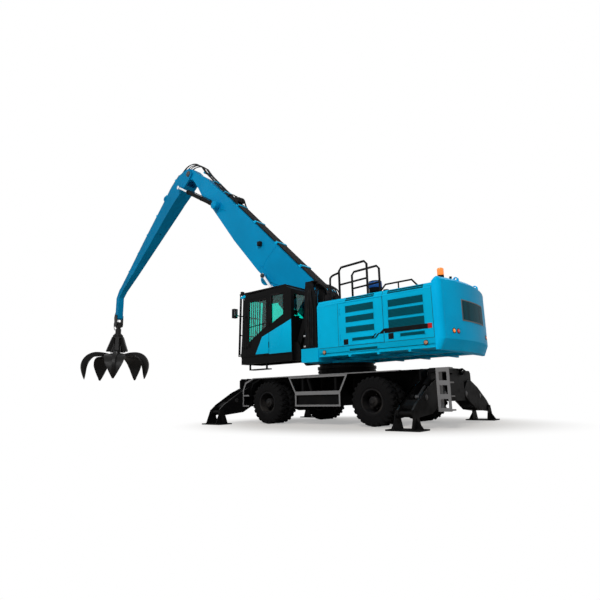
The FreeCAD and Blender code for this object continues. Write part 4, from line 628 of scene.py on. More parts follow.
class HANDLER_OT_finishes(bpy.types.Operator):
    """Makes the finishes and puts them on the frame's own parts"""
    bl_idname = "handler.finishes"
    bl_label = "Finishes"

    def execute(self, context):
        colours = context.scene.handler_colours
        body = tuple(colours.body)
        dark = tuple(colours.chassis)
        edge = tuple(colours.edges)
        paint("body_paint", body, 0.44, 0.04, 0.08)
        paint("chassis_paint", dark, 0.5, 0.01, 0.03)
        # The edge finish is real pale paint on the name panel's rim and a painted highlight on the deck's
        # edge strips.
        paint("edge_paint", edge, 0.5, 0.05, 0.3)
        paint("cab_paint", dark, 0.4, 0.02, 0.01)
        paint("upper_paint", body, 0.42, 0.05, 0.12, [(dark, mast_share)])
        # Dark paint on the side frames, pale on the ladder and on the outer faces, where the pale is a
        # painted highlight.
        paint("guard_paint", dark, 0.5, 0.01, 0.03, [(edge, guard_highlight_and_ladder_share)])
        # The boom and the stick take darker copies of the body paint, as painted shade: they carry the same
        # blue as the housing.
        paint("boom_paint", (body[0], body[1] * 0.58, body[2] * 0.7), 0.5, 0.01, 0.03)
        paint("stick_paint", (body[0], body[1] * 0.46, body[2] * 0.57), 0.5, 0.01, 0.03)
        # The counterweight takes a brighter copy of the body paint, as painted light: it carries the same
        # blue as the housing.
        paint("weight_paint", (body[0], body[1] * 1.05, body[2] * 1.18), 0.46, 0.02, 0.05)
        rubber("tyre_rubber", tuple(colours.tyre), 0.86, 60, 0.03)
        rubber("hose_rubber", (0.012, 0.012, 0.013), 0.55, 90, 0.15)
        rubber("seal_rubber", (0.008, 0.008, 0.009), 0.6, 120, 0.1)
        paint("rim_paint", (0.01, 0.01, 0.011), 0.5, 0.05, 0.2)
        metal("chrome_rod", (0.72, 0.73, 0.75), 0.16, 1.0, 300, 0.1)
        metal("cast_steel", tuple(colours.steel), 0.42, 0.1, 26, 0.2)
        metal("engine_cast", (0.12, 0.12, 0.12), 0.6, 0.4, 40, 0.2)
        metal("bolt_steel", (0.05, 0.05, 0.052), 0.45, 0.7, 120, 0.4)
        metal("pipe_steel", (0.32, 0.33, 0.34), 0.35, 0.8, 120, 0.3)
        perforated("grille_sheet", tuple(colours.grille))
        paint("grille_slat", shade(tuple(colours.grille), 1.3), 0.45, 0.02, 0.1)
        woven("seat_cloth", (0.03, 0.03, 0.034))
        tinted("green_glass", tuple(colours.glass))
        lamp_lens("amber_lens", tuple(colours.beacon), 0.6)
        lamp_lens("side_lens", (0.42, 0.2, 0.1), 0.05)
        lamp_lens("red_lens", (0.55, 0.01, 0.01), 0.3)
        lamp_lens("clear_lens", (0.75, 0.78, 0.8), 0.15)
        rubber("band_black", (0.006, 0.006, 0.007), 0.4, 200, 0.05)
        paint("band_red", (0.6, 0.012, 0.01), 0.35, 0.3, 0.1)
        paint("cap_blue", (0.01, 0.09, 0.33), 0.35, 0.3, 0.1)
        by_slot = {
            "blue_paint": "body_paint", "black_paint": "chassis_paint", "tyre_rubber": "tyre_rubber",
            "rim_paint": "rim_paint", "chrome_rod": "chrome_rod", "tinted_glass": "green_glass",
            "seat_fabric": "seat_cloth", "cast_steel": "cast_steel", "engine_cast": "engine_cast",
        }
        special = {"upper_frame": "upper_paint", "chassis_guards": "guard_paint", "boom": "boom_paint",
                   "stick": "stick_paint", "counterweight": "weight_paint", "cab_shell": "cab_paint",
                   "cab_door": "cab_paint", "cab_guard": "cab_paint",
                   "stick_cylinder_barrels": "chassis_paint"}
        slots = {row["slot"]: row for row in frame["record"]["materials"]}
        for name, node in frame["nodes"].items():
            used = node.data.materials[0].name.split(".")[0] if node.data.materials else ""
            slot = used if used in slots else node_slot(name)
            finish = special.get(name, "bolt_steel" if name.startswith("stabiliser_rod") else by_slot[slot])
            node.data.materials.clear()
            node.data.materials.append(FINISHES[finish])
        return {"FINISHED"}


def node_slot(name):
    """The record's slot of a node, from the list of nodes that each slot names."""
    for row in frame["record"]["materials"]:
        if name in row.get("nodes", []):
            return row["slot"]
    return "black_paint"


def mast_share(finish):
    """The mast's plates on the deck are dark, and so is the deck between the beams."""
    x = finish.axis("X")
    y = finish.axis("Y")
    z = finish.axis("Z")
    mast = (x < AXIS_X + 0.09) * (z > 1.93) * (y < -0.6)
    front = (x < AXIS_X - 0.475)
    return (mast + front).clamped()


def guard_highlight_and_ladder_share(finish):
    """The outer faces of the side frames and steps are pale as a painted highlight along the frames' edges,
    and the whole ladder is pale.
    """
    x = finish.axis("X")
    outer = finish.axis("Y").absolute() > 1.3475
    ladder = x > AXIS_X + 3.2
    return (outer + ladder).clamped()


class HANDLER_OT_wheels(bpy.types.Operator):
    """Moulds the treaded twin tyres and fits the wheel nuts"""
    bl_idname = "handler.wheels"
    bl_label = "Wheels"

    def execute(self, context):
        sizes = context.scene.handler_sizes
        for name, (x, side) in WHEELS.items():
            self.tyres(name, x, side, sizes)
            self.hub(name, x, side, sizes)
        return {"FINISHED"}

    def tyres(self, name, x, side, sizes):
        r = WHEEL_RADIUS - 1
        base = r - sizes.lug_height / MM
        w = TYRE_WIDTH
        half = w / 2
        wall = [(275, 30 - half), (300, 12 - half), (322, 4 - half), (330, -half), (338, 2 - half),
                (400, -half - 1), (452, -half), (458, 3 - half), (base - 48, 6 - half),
                (base - 14, 22 - half), (base, 46 - half)]
        profile = wall + [(rad, -h) for rad, h in reversed(wall)]
        carcass = Shape()
        middles = [side * (TYRE_OUTER - half), side * (TYRE_OUTER - half - w - TWIN_GAP)]
        for y in middles:
            carcass.turned(profile, (x, y, WHEEL_RADIUS), (0, 1, 0), 96)
        carcass.done("tyre_bodies_" + name, "wheel_" + name, "tyre_rubber", smooth=50,
                     replaces=["tyres_" + name])
        lugs = Shape()
        pitch = math.pi / sizes.lugs
        for y in middles:
            for row, turn in ((-1, 0), (1, pitch)):
                self.lug(lugs, x, y, row, turn, base, r, half, pitch)
        repeated(lugs, "tyre_lugs_" + name, "wheel_" + name, "tyre_rubber", sizes.lugs, turn=(0, 1, 0),
                 centre=(x, 0, WHEEL_RADIUS), smooth=30)

    def lug(self, lugs, x, y, row, turn, base, top, half, pitch):
        """One chunky lug from the tread's middle over the shoulder, in three steps."""
        def place(radius, across, angle):
            return Vector((AXIS_X + (x + radius * math.sin(angle)) * MM, (y + row * across) * MM,
                           (WHEEL_RADIUS + radius * math.cos(angle)) * MM))
        sections = [(12, base - 8, top, 0.34, 0.0), (half * 0.55, base - 8, top, 0.42, 0.16),
                    (half - 20, base - 30, top - 10, 0.5, 0.3), (half + 1, base - 66, base - 26, 0.5, 0.34)]
        rings = []
        for across, low, high, wide, lean in sections:
            mid = turn + lean * pitch * 2
            spread = wide * pitch
            rings.append([lugs.mesh.verts.new(place(rad, across, mid + s * spread * k))
                          for rad, s, k in ((low, -1, 1.15), (high, -1, 0.9), (high, 1, 0.9),
                                            (low, 1, 1.15))])
        for near, far in zip(rings, rings[1:]):
            for i in range(4):
                j = (i + 1) % 4
                lugs.mesh.faces.new((near[i], near[j], far[j], far[i]))
        lugs.mesh.faces.new(rings[0][::-1])
        lugs.mesh.faces.new(rings[-1])

    def hub(self, name, x, side, sizes):
        inner = TYRE_OUTER - 2 * TYRE_WIDTH - TWIN_GAP
        face = inner + TYRE_WIDTH
        nuts = Shape()
        hexagon(nuts, (x + 172, side * (face + 2), WHEEL_RADIUS), (0, side, 0), 17, 26)
        repeated(nuts, "wheel_nuts_" + name, "wheel_" + name, "bolt_steel", sizes.wheel_nuts,
                 turn=(0, 1, 0), centre=(x, 0, WHEEL_RADIUS))
        cap = Shape()
        cap.turned([(0.1, 0), (62, 0), (62, 10), (46, 22), (44, 34), (0.1, 36)],
                   (x, side * (inner + 2 * TYRE_WIDTH + TWIN_GAP - 52), WHEEL_RADIUS), (0, side, 0), 40)
        cap.turned([(258, -16), (272, -16), (276, -4), (270, 6), (262, 4)],
                   (x, side * (TYRE_OUTER - 14), WHEEL_RADIUS), (0, side, 0), 80)
        cap.done("hub_cap_" + name, "wheel_" + name, "rim_paint", bevel=2)


class HANDLER_OT_housing(bpy.types.Operator):
    """Fits the grilles, latches, seams, lamps and the band on the engine housing"""
    bl_idname = "handler.housing"
    bl_label = "Engine housing"

    PANELS = {
        "door": [(972, 1790, 2703, 2886), (972, 1788, 2459, 2619), (972, 1790, 2200, 2357),
                 (1148, 1786, 1993, 2080)],
        "rear": [(2168, 3053, 2684, 2861), (2162, 3052, 2439, 2638), (2158, 3056, 2196, 2393),
                 (2441, 3044, 1975, 2062)],
        "skirt": [(1045, 1838, 1751, 1834)],
    }

    def execute(self, context):
        pitch = context.scene.handler_sizes.slat / MM
        for side_name, side in SIDES.items():
            for group, grilles in self.PANELS.items():
                body = "hood_door" if group == "door" and side == -1 else "upper"
                label = group + "_" + side_name
                self.grilles(label, grilles, side, body, pitch,
                             SKIRT_TOP - 12 if group == "skirt" else None)
            self.roof_slots(side_name, side)
            self.seams(side_name, side)
            self.latches(side_name, side)
            self.side_lamps(side_name, side)
            self.band(side_name, side)
        self.roof()
        self.rails()
        return {"FINISHED"}

    def grilles(self, label, grilles, side, body, pitch, skirt):
        y = side * HOUSING_SIDE
        out = side * 4
        lean = -side * 18 if skirt else 0
        sheet = Shape()
        frames = Shape()
        for x0, x1, z0, z1 in grilles:
            sheet.box(x0, x1, y + lean - side * 6, y + lean + out * 0.4, z0, z1)
            frames.strip([(x0, z0), (x1, z0), (x1, z1), (x0, z1)], 14, y + lean - side * 6, y + lean + out,
                         True)
        sheet.done("grille_sheets_" + label, body, "grille_sheet")
        frames.done("grille_frames_" + label, body, "body_paint", bevel=2)
        for index, (x0, x1, z0, z1) in enumerate(grilles):
            slat = Shape()
            step = (z1 - z0 - 20) / max(2, round((z1 - z0) / pitch))
            count = round((z1 - z0 - 20) / step)
            base = y + lean + side
            low = z0 + 12
            slat.hull(*([at(x, base, low), at(x, base + side * 6, low - 4), at(x, base + side * 6, low),
                         at(x, base, low + step * 0.35)] for x in (x0 + 6, x1 - 6)))
            repeated(slat, "grille_slats_%s_%d" % (label, index + 1), body, "grille_slat", count,
                     step=(0, 0, step))

    def roof_slots(self, side_name, side):
        slots = Shape()
        for x0, x1 in ((972, 1790), (2162, 3056)):
            for share in (0.25, 0.62):
                y = side * (HOUSING_SIDE - 75 * share)
                z = CREASE + (ROOF - CREASE) * share
                slots.hull(*([at(x, y + side * 2, z - 12), at(x, y + side * 4, z),
                              at(x, y - side * 16, z + 34), at(x, y - side * 18, z + 24)]
                             for x in (x0, x1)))
        slots.done("roof_slots_" + side_name, "upper", "grille_sheet")

    def seams(self, side_name, side):
        y = side * HOUSING_SIDE
        out = y + side * 1.5
        seams = Shape()
        for x in (2026, 3250):
            seams.box(x - 4, x + 4, y - side * 8, out, SKIRT_TOP, CREASE)
            seams.hull([at(x - 4, out, CREASE), at(x + 4, out, CREASE), at(x + 4, y - side * 8, CREASE),
                        at(x - 4, y - side * 8, CREASE)],
                       [at(x - 4, side * (HOUSING_SIDE - 73), ROOF + 1),
                        at(x + 4, side * (HOUSING_SIDE - 73), ROOF + 1),
                        at(x + 4, side * (HOUSING_SIDE - 85), ROOF),
                        at(x - 4, side * (HOUSING_SIDE - 85), ROOF)])
        seams.box(743, 751, y - side * 8, out, SKIRT_TOP, CREASE)
        seams.box(96, 3258, y - side * 8, out, SKIRT_TOP - 4, SKIRT_TOP + 4)
        seams.done("panel_seams_" + side_name, "upper", "seal_rubber")
        press = Shape()
        line = [at(x, y - side * 2, z)
                for x, z in ((150, 1960), (150, 2760), (200, 2890), (330, 2945), (700, 2950))]
        press.tube(rounded(line, 6), 7, 8)
        press.tube([at(120, y - side * 2, CREASE), at(3240, y - side * 2, CREASE)], 8, 8)
        press.done("pressed_lines_" + side_name, "upper", "body_paint")

    def latches(self, side_name, side):
        y = side * HOUSING_SIDE
        for label, x, z, body in (("front", 968, 1992, "hood_door" if side == -1 else "upper"),
                                  ("rear", 2211, 2017, "upper")):
            latch = Shape()
            latch.box(x - 68, x + 68, y - side * 6, y + side * 5, z - 68, z + 68)
            latch.box(x - 44, x + 44, y, y + side * 9, z - 8, z + 44)
            latch.rod((x, y, z - 30), (x, y + side * 9, z - 30), 15)
            latch.done("latch_%s_%s" % (label, side_name), body, "seal_rubber", bevel=3)
            if body == "upper":
                hinge = Shape()
                for hz in (2090, 2790):
                    hinge.rod((x - 168, y + side * 2, hz - 45), (x - 168, y + side * 2, hz + 45), 9)
                hinge.done("hinges_%s_%s" % (label, side_name), "upper", "body_paint")

    def side_lamps(self, side_name, side):
        lamps = Shape()
        rims = Shape()
        y = side * (HOUSING_SIDE - 18)
        for x, z in ((283, 1788), (3036, 1799)):
            lamps.turned([(0.1, 0), (44, 0), (40, 10), (24, 16), (0.1, 18)], (x, y, z), (0, side, 0), 32)
            rims.turned([(42, -4), (56, -4), (54, 8), (44, 10)], (x, y, z), (0, side, 0), 32)
        lamps.done("side_lamps_" + side_name, "upper", "side_lens")
        rims.done("side_lamp_rims_" + side_name, "upper", "seal_rubber")

    def band(self, side_name, side):
        y0 = side * (HOUSING_SIDE + 4)
        y1 = side * (HOUSING_SIDE + 8)
        band = Shape()
        band.side([(1900, 2098), (2030, 2205), (3120, 2205), (3120, 2098)], y0, y1)
        for x in (1690, 1775):
            band.side([(x, 2010), (x + 40, 2010), (x + 150, 2120), (x + 110, 2120)], y0, y1)
        band.done("side_band_" + side_name, "upper", "band_black")
        end = Shape()
        end.side([(3120, 2098), (3120, 2205), (3215, 2205), (3215, 2098)], y0, y1)
        end.done("side_band_end_" + side_name, "upper", "band_red")

    def rails(self):
        """Grip sleeves on the guard hoops and a lower step rail in front of them."""
        rails = Shape()
        top = 3850
        for y in (-1290, -700):
            hoop = ((760, ROOF), (760, top), (830, top + 80), (1520, top + 110), (1590, top + 30),
                    (1590, ROOF))
            rails.tube([at(x, y, z) for x, z in hoop], 29, 16)
            rails.rod((760, y, 3480), (1590, y, 3520), 24)
        step = ((470, ROOF), (470, 3640), (500, 3730), (580, 3770), (740, 3800))
        rails.tube(rounded([at(x, -1290, z) for x, z in step], 8), 27, 16)
        rails.done("hoop_sleeves", "upper", "seal_rubber", smooth=60)

    def roof(self):
        panels = Shape()
        for x0, x1, y0, y1 in ((1130, 2010, 120, 1180), (1130, 2010, -1180, -120),
                               (2080, 3180, -1180, 1180)):
            panels.box(x0, x1, y0, y1, ROOF - 4, ROOF + 7)
        panels.done("roof_panels", "upper", "body_paint", bevel=4)
        handles = Shape()
        for y in (-620, 620):
            line = [at(1500, y, ROOF), at(1500, y, ROOF + 70), at(1650, y, ROOF + 70), at(1650, y, ROOF)]
            handles.tube(rounded(line, 6), 10, 10)
        handles.done("roof_handles", "upper", "seal_rubber")
        strips = Shape()
        for y in (-1060, -900):
            strips.box(1160, 1990, y - 40, y + 40, ROOF + 6, ROOF + 9)
        strips.done("grip_strips", "upper", "band_black")
        hatch = Shape()
        hatch.box(2250, 3000, -520, 520, ROOF + 5, ROOF + 26)
        hatch.done("radiator_hatch", "upper", "grille_sheet", bevel=4)


class HANDLER_OT_weight(bpy.types.Operator):
    """Fits the bare panel with its rim, the lamps and the rear cameras on the counterweight"""
    bl_idname = "handler.weight"
    bl_label = "Counterweight"

    BACK = 3650
    RADIUS = 4207

    def bow(self, y, out):
        return self.BACK - self.RADIUS + math.sqrt(self.RADIUS ** 2 - y ** 2) + out

    def plate(self, shape, y0, y1, z0, z1, low, high, steps=12):
        """A plate that follows the bowed back between two offsets."""
        ys = [y0 + (y1 - y0) * i / steps for i in range(steps + 1)]
        outline = [(self.bow(y, low), y) for y in ys] + [(self.bow(y, high), y) for y in reversed(ys)]
        shape.plan(outline, z0, z1)

    def execute(self, context):
        panel = Shape()
        self.plate(panel, -620, 620, 2311, 2756, -12, 3)
        panel.done("name_panel", "upper", "grille_sheet")
        rim = Shape()
        for z0, z1 in ((2290, 2314), (2753, 2777)):
            self.plate(rim, -645, 645, z0, z1, -12, 7)
        for y0, y1 in ((-645, -618), (618, 645)):
            self.plate(rim, y0, y1, 2290, 2777, -12, 7, 2)
        rim.done("name_panel_rim", "upper", "edge_paint", bevel=4)
        for name, y, finish in (("amber", 1000, "amber_lens"), ("red", 850, "red_lens")):
            lens = Shape()
            rims = Shape()
            for side in (-1, 1):
                place = (self.bow(y, -6), side * y, 2040)
                lens.turned([(0.1, 0), (44, 0), (42, 14), (28, 20), (0.1, 22)], place, (1, side * 0.25, 0),
                            32)
                rims.turned([(42, -6), (60, -6), (58, 12), (46, 16)], place, (1, side * 0.25, 0), 32)
            lens.done("rear_lamps_" + name, "upper", finish)
            rims.done("rear_lamp_rims_" + name, "upper", "seal_rubber")
        mast = Shape()
        for y in (-620, 780):
            mast.rod((3400, y, 3180), (3400, y, 3300), 12)
            mast.rod((3400, y, 3290), (3400, y, 3340), 30)
        mast.done("rear_cameras", "upper", "seal_rubber", bevel=3)
        return {"FINISHED"}


class HANDLER_OT_cab(bpy.types.Operator):
    """Trims the cab: blue side panel, seals, mirror, handles, lamps, wiper and seat"""
    bl_idname = "handler.cab"
    bl_label = "Cab"

    def execute(self, context):
        self.side_panel()
        self.seals()
        self.fittings()
        self.lamps()
        self.seat()
        return {"FINISHED"}

    def side_panel(self):
        y0 = CAB_LEFT
        y1 = CAB_LEFT - 6
        split = -1656
        rise = (2792 - 2395) / (1920 - 794)
        cut = 2395 + (split + 1920) * rise
        door = Shape()
        door.side([(-2181, 1915), (-1920, 2395), (split, cut), (split, 1915)], y0, y1)
        door.done("door_panel", "cab_door", "body_paint", bevel=3)
        shell = Shape()
        shell.side([(-1644, 1890), (-1644, cut + 4), (-806, 2788), (-806, 1890)], y0, y1)
        shell.done("cab_side_panel", "cab", "body_paint", bevel=3)
        lines = Shape()
        crease = ((-1620, 2060), (-1350, 2070), (-1250, 2140), (-1170, 2400), (-1120, 2560))
        lines.tube(rounded([at(x, y1, z) for x, z in crease], 6), 6, 8)
        lines.done("panel_crease", "cab", "body_paint")
        visor = Shape()
        visor.side([(-2850, 3690), (-2660, 3735), (-2600, 3690), (-2640, 3640), (-2820, 3640)],
                   CAB_LEFT - 4, CAB_LEFT + 40)
        visor.done("corner_visor", "cab", "body_paint", bevel=4)

    def seals(self):
        y = CAB_LEFT
        seals = Shape()
        seals.strip([(-1560, 2720), (-1560, 3560), (-1090, 3560), (-1080, 2950)], 34, y + 10, y - 5, True)
        seals.done("side_window_seal", "cab", "seal_rubber", bevel=4)
        door = Shape()
        door.strip([(-2480, 2260), (-2480, 3480), (-1740, 3480), (-1740, 2680)], 36, y + 8, y - 5, True)
        door.strip([(-2480, 2720), (-1740, 2790)], 22, y + 8, y + 2)
        door.done("door_window_seal", "cab_door", "seal_rubber", bevel=4)
        right = Shape()
        right.strip([(-2600, 2280), (-2520, 3560), (-1100, 3560), (-1080, 2900), (-1640, 2600)], 34,
                    CAB_RIGHT - 10, CAB_RIGHT + 5, True)
        right.done("right_window_seal", "cab", "seal_rubber", bevel=4)

    def fittings(self):
        y = CAB_LEFT
        handle = Shape()
        handle.tube(rounded([at(-2440, y - 2, 2150), at(-2440, y - 45, 2180), at(-2420, y - 45, 2330),
                             at(-2420, y - 2, 2360)], 6), 10, 10)
        handle.box(-2530, -2450, y - 14, y, 2180, 2230)
        handle.done("door_handle", "cab_door", "seal_rubber", bevel=2)
        rail = Shape()
        rail.tube(rounded([at(-2590, y, 2150), at(-2600, y - 70, 2180), at(-2590, y - 70, 3000),
                           at(-2580, y, 3040)], 6), 13, 12)
        rail.done("grab_rail", "cab", "seal_rubber")
        mirror = Shape()
        mirror.tube(rounded([at(-2850, y + 10, 3120), at(-2900, y - 30, 3130), at(-2930, y - 70, 3200)],
                            6), 14, 10)
        mirror.box(-3010, -2890, y - 190, y - 50, 3050, 3330)
        mirror.done("mirror", "cab", "seal_rubber", bevel=12)
        glass = Shape()
        glass.box(-2893, -2886, y - 178, y - 62, 3070, 3310)
        glass.done("mirror_glass", "cab", "chrome_rod", bevel=1)
        wiper = Shape()
        wiper.rod((-2765, -700, 2300), (-2718, -960, 3050), 9)
        wiper.rod((-2735, -1150, 3040), (-2700, -760, 3080), 7)
        wiper.done("wiper", "cab", "seal_rubber")
        guard = Shape()
        guard.rod((-2905, CAB_LEFT + 60, 1960), (-2852, CAB_LEFT + 60, 3700), 17, 10)
        repeated(guard, "guard_bars", "cab", "seal_rubber", 10, step=(0, 87, 0), smooth=60)
        rails = Shape()
        for z in (1960, 2540, 3120, 3700):
            x = -2905 + (z - 1900) * 0.0293
            rails.rod((x, CAB_LEFT + 15, z), (x, CAB_RIGHT - 15, z), 17, 12)
        rails.done("guard_rails", "cab", "seal_rubber", smooth=60)

    def lamps(self):
        lens = Shape()
        cases = Shape()
        for y in (-1300, -1120, -800, -620):
            cases.box(-2895, -2815, y - 48, y + 48, 3795, 3880)
            lens.box(-2900, -2893, y - 40, y + 40, 3803, 3872)
        cases.done("roof_lamp_cases", "cab", "seal_rubber", bevel=8)
        lens.done("roof_lamp_lenses", "cab", "clear_lens", bevel=2)

    def seat(self):
        floor = 1922
        mid = (CAB_LEFT + CAB_RIGHT) / 2
        stand = Shape()
        stand.box(-1640, -1260, mid - 170, mid + 170, floor, floor + 60)
        for i in range(6):
            grow = 10 if i % 2 else 0
            stand.box(-1610 - grow, -1290 + grow, mid - 140 - grow, mid + 140 + grow, floor + 60 + i * 40,
                      floor + 100 + i * 40)
        stand.box(-1740, -1210, mid - 220, mid + 220, floor + 300, floor + 330)
        for side in (-1, 1):
            y = mid + side * 262
            stand.box(-1780, -1310, y - 42, y + 42, floor + 420, floor + 610)
            stand.rod((-1740, y, floor + 600), (-1750, y, floor + 640), 16)
        stand.done("seat_stand", "cab", "seal_rubber", bevel=8, replaces=["cab_seat"])
        for name, centre, size, lean in (("seat_cushion", (-1490, mid, floor + 392), (560, 490, 120), 0),
                                         ("seat_back", (-1160, mid, floor + 740), (110, 470, 680), 0.17),
                                         ("head_rest", (-1068, mid, floor + 1140), (95, 260, 160), 0.17)):
            self.pad(name, centre, size, lean)

    def pad(self, name, centre, size, lean):
        """A crowned cushion with pulled-in sides and two sewn channels."""
        mesh = bmesh.new()
        bmesh.ops.create_cube(mesh, size=1)
        bmesh.ops.subdivide_edges(mesh, edges=mesh.edges, cuts=15, use_grid_fill=True)
        thin = size.index(min(size))
        wide = [i for i in range(3) if i != thin]
        turn = Matrix.Rotation(lean, 3, "Y")
        for vert in mesh.verts:
            u = [2 * c for c in vert.co]
            a, b = (u[i] for i in wide)
            pull = 1 - 0.1 * (1 - a ** 4) * abs(b) ** 8 - 0.1 * (1 - b ** 4) * abs(a) ** 8
            crown = 0.62 + 0.38 * (1 - a ** 4) * (1 - b ** 4)
            channel = sum(math.exp(-((a - s) / 0.07) ** 2) for s in (-0.35, 0.35))
            u[thin] *= crown - 0.12 * channel
            u = [c * (pull if i != thin else 1) for i, c in enumerate(u)]
            offset = Vector([c * s / 2 * MM for c, s in zip(u, size)])
            vert.co = at(*centre) + turn @ offset
        piece = mesh_object(name, mesh)
        piece.data.materials.append(FINISHES["seat_cloth"])
        soft = piece.modifiers.new("Soft", "SUBSURF")
        soft.levels = soft.render_levels = 1
        return settle(piece, "cab", 80)


class HANDLER_OT_arm(bpy.types.Operator):
    """Lays the hoses, clamps, bosses and weld seams on the boom and the stick"""
    bl_idname = "handler.arm"
    bl_label = "Boom and stick"

    DROP = 0.0254
    HOSES = (-190, -135, -80, -25, 30, 85, 140, 195)

    def top(self, distance, rise):
        """A place above the boom's upper edge."""
        return boom_point(distance, 722 - distance * self.DROP + rise)

    def above(self, distance, rise, y):
        """The same place to one side of the boom's middle, in the frame's metres."""
        x, z = self.top(distance, rise)
        return at(x, y, z)

    def clamp(self, shape, distance, half, low, high, y0, y1):
        """A block across the boom, from low to high above its upper edge."""
        shape.side([self.top(distance - half, low), self.top(distance + half, low),
                    self.top(distance + half, high), self.top(distance - half, high)], y0, y1)

    def execute(self, context):
        radius = context.scene.handler_sizes.hose / MM
        self.bundle(radius)
        self.pipes(radius)
        self.loop(radius)
        self.brackets()
        self.stick_lines(radius)
        self.seams()
        self.pins()
        return {"FINISHED"}

    def bundle(self, radius):
        hoses = Shape()
        for y in self.HOSES:
            line = [at(-60, y * 0.8, 2900), at(40, y * 0.9, 3080)]
            line += [self.above(distance, rise, y) for distance, rise in
                     ((1000, 29), (1500, 30), (3000, 34), (5000, 39), (6700, 43))]
            hoses.tube(rounded(line, 8), radius, 10)
        hoses.done("boom_hoses", "boom", "hose_rubber", smooth=60)
        clamps = Shape()
        for distance in (1150, 2450, 3850, 5250, 6500):
            self.clamp(clamps, distance, 45, 12, 78, -232, 237)
            self.clamp(clamps, distance, 60, -30, 30, -262, -228)
        clamps.done("hose_clamps", "boom", "body_paint", bevel=4)

    def pipes(self, radius):
        pipes = Shape()
        for y in (-170, -115, -60, 60, 115, 170):
            line = [self.above(distance, rise, y) for distance, rise in
                    ((6600, 46), (7300, 30), (8300, 38), (9200, 60), (9700, 120))]
            pipes.tube(rounded(line, 8), radius * 0.75, 10)
        pipes.done("boom_pipes", "boom", "hose_rubber", smooth=60)
        block = Shape()
        for y in (-150, -30, 90):
            x, z = self.top(6820, 70)
            block.box(x - 130, x + 130, y, y + 84, z - 50, z + 110)
            block.box(x - 60, x + 40, y + 14, y + 70, z + 100, z + 190)
        for y in (-225, -195, 195, 225):
            line = [self.above(distance, rise, y) for distance, rise in
                    ((6480, 40), (6700, 130), (6900, 210), (7120, 150), (7260, 20))]
            block.tube(rounded(line, 8), radius * 0.8, 10)
        block.done("valve_block", "boom", "hose_rubber", bevel=10)
        clamps = Shape()
        for distance in (7600, 8500, 9350):
            self.clamp(clamps, distance, 30, -8, 66, -180, 180)
        clamps.done("pipe_clamps", "boom", "body_paint", bevel=4)

    def loop(self, radius):
        """Hoses that arch over the stick's pivot."""
        hoses = Shape()
        start = self.top(9700, 120)
        end = stick_point(420, 560)
        peak = (BOOM_TIP[0] - 120, BOOM_TIP[1] + 455)
        for i, y in enumerate((-170, -115, -60, 60, 115, 170)):
            high = 40 * (i % 2)
            line = [at(start[0], y, start[1]),
                    at((start[0] + peak[0]) / 2 - 40, y, (start[1] + peak[1]) / 2 + 90 + high),
                    at(peak[0] - 80, y, peak[1] + high - 40), at(peak[0] - 480, y, peak[1] - 240 + high),
                    at(end[0], y, end[1])]
            hoses.tube(rounded(line, 10), radius * 0.75, 10)
        bridge = ("stick", at(start[0], 0, start[1]), at(end[0], 0, end[1]))
        hoses.done("pivot_hoses", "boom", "hose_rubber", smooth=60, bridge=bridge)

    def brackets(self):
        """Rounded bracket plates round the boom's cylinder pins."""
        plates = Shape()
        lift = along(LIFT_EYE, BOOM_FOOT, 60)
        middle = along(BOOM_FOOT, BOOM_TIP, 1)
        way = (middle[0] - BOOM_FOOT[0], middle[1] - BOOM_FOOT[1])
        for place, radius, reach, y0, y1 in ((lift, 265, 600, 288, 312), (STICK_BASE, 225, 520, 288, 306)):
            ring = []
            for k in range(25):
                angle = math.pi * k / 24
                out = (-way[0] * math.cos(angle) - way[1] * math.sin(angle),
                       -way[1] * math.cos(angle) + way[0] * math.sin(angle))
                ring.append((place[0] + radius * out[0], place[1] + radius * out[1]))
            back = [(place[0] + way[0] * reach * s + way[1] * 120,
                     place[1] + way[1] * reach * s - way[0] * 120) for s in (1, -1)]
            for side in (-1, 1):
                plates.side(ring + back, side * y0, side * y1)
        plates.done("boom_brackets", "boom", "boom_paint", bevel=6)

    def stick_lines(self, radius):
        lines = Shape()
        top = [(420, 560), (1106, 575), (1748, 486), (3709, 340), (5656, 150), (6150, 110)]
        for side in (-1, 1):
            line = []
            for s, n in top:
                x, z = stick_point(s, n)
                line.append(at(x, side * (235 - max(0, s - 1500) * STICK_TAPER), z))
            lines.tube(rounded(line, 8), radius * 0.7, 10)
        lines.done("stick_pipes", "stick", "pipe_steel", smooth=60)
        clamps = Shape()
        for s, n in ((700, 545), (1500, 520), (2500, 412), (3500, 318), (4500, 224), (5500, 130)):
            half = 262 - max(0, s - 1500) * STICK_TAPER
            clamps.side([stick_point(s - 35, n - 20), stick_point(s + 35, n - 20),
                         stick_point(s + 35, n + 60), stick_point(s - 35, n + 60)], -half, half)
        clamps.done("stick_clamps", "stick", "body_paint", bevel=4)
        lug = Shape()
        x, z = stick_point(1620, 490)
        for y in (-272, 222):
            lug.turned([(30, 0), (118, 0), (118, 50), (30, 50)], (x, y, z), (0, 1, 0), 40)
        lug.turned([(0.1, 0), (50, 0), (50, 576), (0.1, 576)], (x, -288, z), (0, 1, 0), 32)
        lug.done("stick_lug", "stick", "stick_paint", bevel=4)

    def seams(self):
        for name, places in (("boom_seam_low", ((1350, -300), (1500, 0), (1450, 300), (1250, 620))),
                             ("boom_seam_high", ((3700, -300), (3760, 100), (3700, 600)))):
            points = [boom_point(*place) for place in places]
            seam = Shape()
            for side in (-1, 1):
                seam.tube(rounded([at(x, side * 290, z) for x, z in points], 10), 9, 8)
            seam.done(name, "boom", "boom_paint")
        lamp = Shape()
        for side in (-1, 1):
            lamp.box(-3150, -3000, side * 290, side * 400, 5640, 5790)
        lamp.done("boom_lamps", "boom", "seal_rubber", bevel=14)
        lens = Shape()
        for side in (-1, 1):
            lens.box(-3156, -3148, side * 305, side * 385, 5660, 5770)
        lens.done("boom_lamp_lenses", "boom", "clear_lens", bevel=2)

